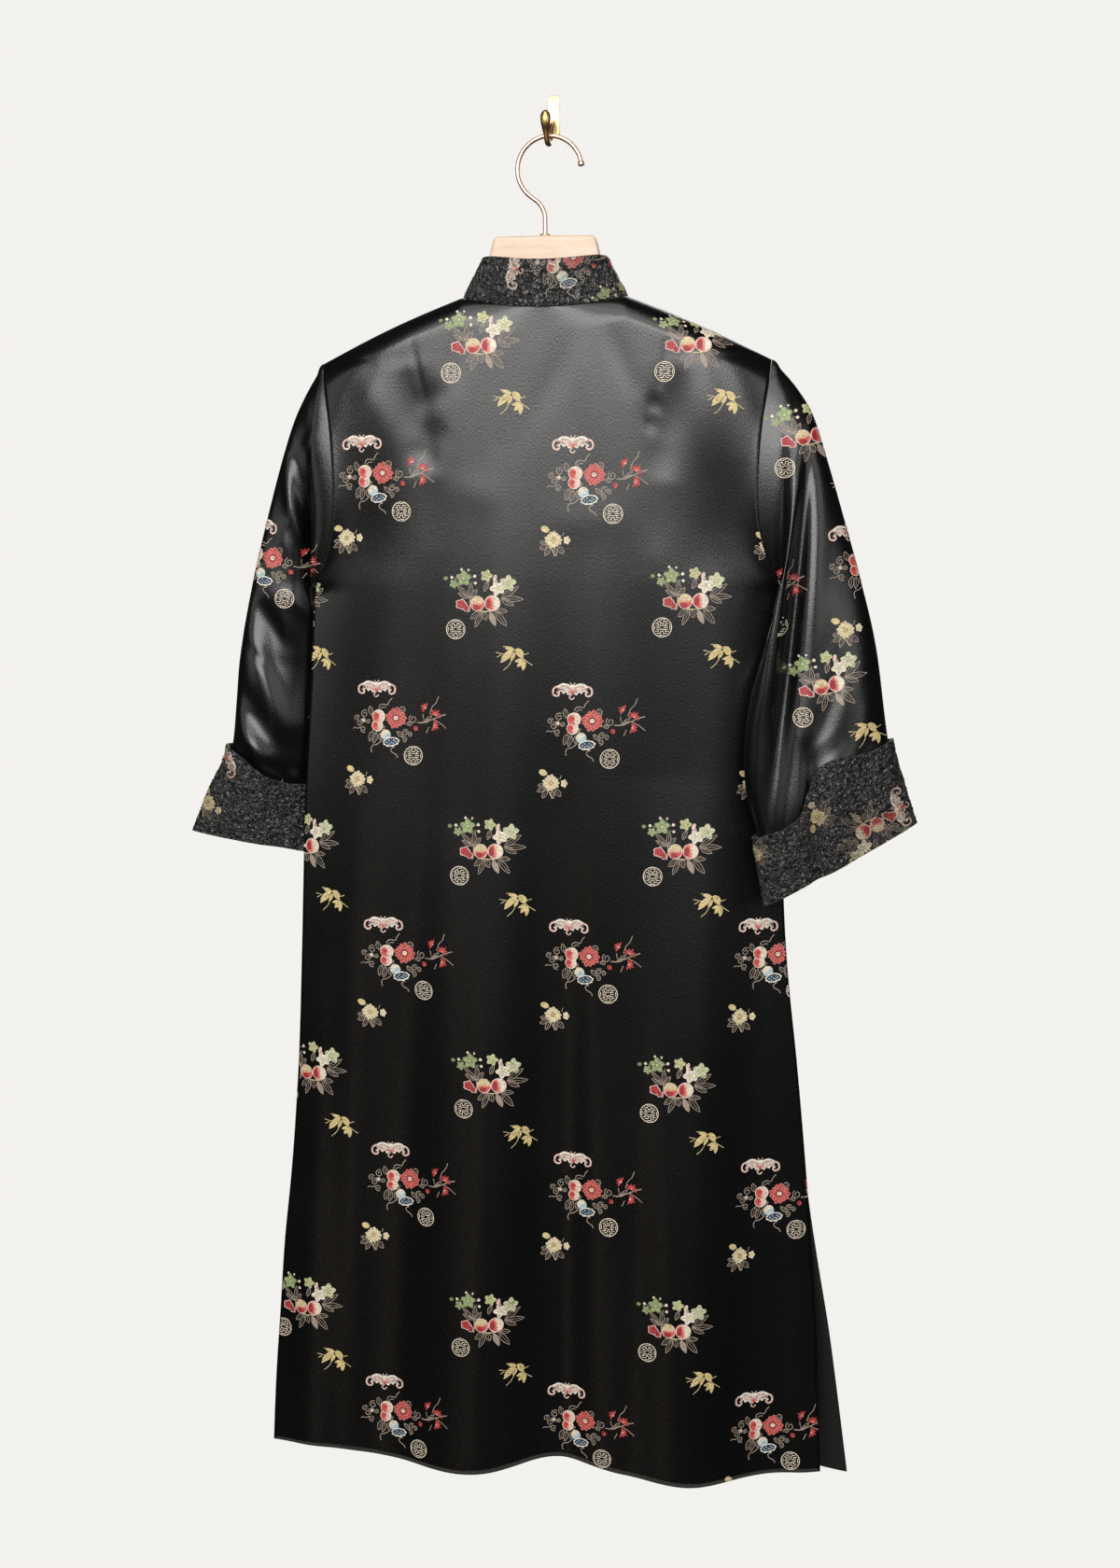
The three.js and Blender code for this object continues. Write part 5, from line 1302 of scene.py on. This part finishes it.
def all_over(x, y, columns, rows):
    """Half-dropped rows of both sprays, counted from one peony spray's round."""
    spots = []
    for j in rows:
        for i in columns:
            at_x, at_y = x + i * REPEAT["across"], y - j * REPEAT["down"]
            spots += sprays(PEONY_PARTS, [(at_x, at_y)])
            spots += sprays(FRUIT_PARTS, [(at_x + REPEAT["half_across"], at_y + REPEAT["half_down"])])
    return spots


PEONY_ROWS = [(-361, -128, 64), (-582, -121, 61), (-806, -114, 62), (-1026, -113, 61), (-1256, -119, 58)]
FRUIT_ROWS = [(-240, -82, 109), (-466, -80, 107), (-693, -76, 102), (-918, -74, 99), (-1147, -77, 98)]
places = []
for kind, rows in ((PEONY_PARTS, PEONY_ROWS), (FRUIT_PARTS, FRUIT_ROWS)):
    for z, left, right in rows:
        first, second = spot("back_panel", left, z), spot("back_panel", right, z)
        step = second - first
        places += sprays(kind, [first + step * i for i in range(-1, 4)])
weave("back_panel", places)
for word, shift in (("left", 40), ("right", -64)):
    weave(f"front_{word}_panel", all_over(shift, -361, range(-2, 3), range(-1, 6)))

weave("sleeve_left_shell", all_over(*spot("sleeve_left_shell", -241, -440), range(-2, 3), range(-2, 3)))
high, middle, low = (spot("sleeve_right_shell", x, z) for x, z in ((218, -322), (212, -462), (236, -544)))
places = sprays(FRUIT_PARTS, [high, low, middle + (196, -6), middle + (190, 190)])
places += sprays(PEONY_PARTS, [middle, middle + (112, 8), middle + (152, 112), middle + (160, -112)])
weave("sleeve_right_shell", places)

flower, low = spot("cuff_left_shell", -321, -634), spot("cuff_left_shell", -282, -676)
places = [(4, *flower, -20), (1, *(low + (22, -20)), 12),
          (3, *(spot("cuff_left_shell", -300, -592) + (0, 2)), -60)]
places += [(0, *(flower - (86, 10)), 90), (2, *(flower - (130, -20)), 0), (1, *(flower - (160, 10)), -90)]
weave("cuff_left_shell", places)
places = [(1, *spot("cuff_right_shell", 300, -652), 176), (3, *spot("cuff_right_shell", 325, -626), 82),
          (4, *spot("cuff_right_shell", 250, -632), 92), (4, *spot("cuff_right_shell", 193, -668), 92)]
middle = spot("cuff_right_shell", 325, -626)
places += [(1, *(middle + (70, -6)), 180), (2, *(middle + (108, 0)), 0), (0, *(middle + (140, -10)), 0)]
weave("cuff_right_shell", places)
places = [(3, *spot("collar_shell", -24, -147), 78), (0, *(spot("collar_shell", 6, -146) + (26, 2)), 0),
          (1, *(spot("collar_shell", 62, -158) + (14, -20)), 12)]
behind = spot("collar_shell", 0, -150)
places += [(4, *(behind + (-110, 4)), 90), (3, *(behind + (-150, 0)), -80), (0, *(behind + (142, 6)), 90)]
weave("collar_shell", places)

# ------------------------------------------------------------------ frog fastenings
# Five frogs of satin rouleau close the front. Each has a loop of the cord laid double on one front,
# and on the other a ball knot tied in the same cord on its own double bar, sewn down by hand.
FROG = dict(count=5, top_z=-262, spacing=118, cord=1.5, run_gap=1.9, knot=5, clear=0.6, rise=3.4,
            rise_start=14, bend_start=0.75, steps=110, sides=12, taper_steps=4)
FROG_RUN = [46, 34, 22, 12]
KNOT = dict(radius=3.3, cord=1.45, swing=0.85, sunk=0.86, steps=140)
BAR = dict(end=4, apart=1.6, sunk=0.1, steps=32)

rouleau, tree = finish("satin_rouleau", IOR=1.52, Sheen_Weight=0.05)
puckers = tree.grain(900.0, 2.0)
tree.shade(Base_Color=tree.blend(puckers, (0.003, 0.003, 0.0033), (0.011, 0.0105, 0.011)),
           Roughness=0.28 + puckers * 0.12, Normal=tree.bump(0.5, 0.0004, puckers))


def on_front(x, z, lift):
    """A place on the closed front, moved out from the cloth."""
    u = clamp(x / smooth(BODY_WIDTH, "back", z), -1, 1)
    hem_z, roll_end = body_point(1, u, 1)[..., 2], body_point(1, u, ROLL_SHARE)[..., 2]
    v = ROLL_SHARE + (1 - ROLL_SHARE) * (roll_end - z) / (roll_end - hem_z)
    point = body_point(1, u, v)
    return (point[..., 0], point[..., 1] + lift, z)


bend = FROG["knot"] + SEAM_GAP + FROG["cord"]
loop_path = [(x, FROG["run_gap"]) for x in FROG_RUN]
loop_path += [(bend * math.cos(a), bend * math.sin(a))
              for a in np.linspace(FROG["bend_start"], 2 * np.pi - FROG["bend_start"], 12)]
loop_path += [(x, -FROG["run_gap"]) for x in reversed(FROG_RUN)]
knot_turns = np.linspace(0, 2 * np.pi, KNOT["steps"])
for number in range(FROG["count"]):
    z = FROG["top_z"] - number * FROG["spacing"]
    lift = SEAM_GAP + FROG["cord"] + FROG["clear"]
    line = through([on_front(x, z + dz, lift + FROG["rise"] * float(ease(1 - x / FROG["rise_start"])))
                    for x, dz in loop_path], FROG["steps"])
    from_end = np.minimum(np.arange(FROG["steps"]), np.arange(FROG["steps"])[::-1])
    taper = 0.25 + 0.75 * np.sqrt(np.clip(from_end / FROG["taper_steps"], 0, 1))
    loop = facing_out(mesh_object(f"frog_{number + 1}_loop", *rod(line, FROG["cord"] * taper, FROG["sides"]),
                                  [rouleau]))
    carried(loop, "frog_cord", f"frog_loop_{number + 1}")
    # the ball knot: a closed cord that weaves three times round a small ball
    middle = np.array(on_front(0, z, SEAM_GAP + FROG["clear"] + FROG["knot"] * KNOT["sunk"]))
    rise = KNOT["swing"] * np.sin(3 * knot_turns)
    ball_line = middle + KNOT["radius"] * np.stack([
        np.cos(rise) * np.cos(2 * knot_turns), np.sin(rise), np.cos(rise) * np.sin(2 * knot_turns)], axis=1)
    bars = [through([on_front(-x, z + way * BAR["apart"], lift - BAR["sunk"])
                     for x in (*FROG_RUN, BAR["end"])], BAR["steps"]) for way in (-1, 1)]
    points, faces = [], []
    for part, radius in ((ball_line, KNOT["cord"]), (bars[0], FROG["cord"]), (bars[1], FROG["cord"])):
        made_points, made_faces = rod(part, np.full(len(part), radius), FROG["sides"])
        faces += [[k + sum(map(len, points)) for k in face] for face in made_faces]
        points.append(made_points)
    knot = facing_out(mesh_object(f"frog_{number + 1}_knot", np.concatenate(points), faces, [rouleau]))
    carried(knot, "frog_cord", f"frog_knot_{number + 1}")
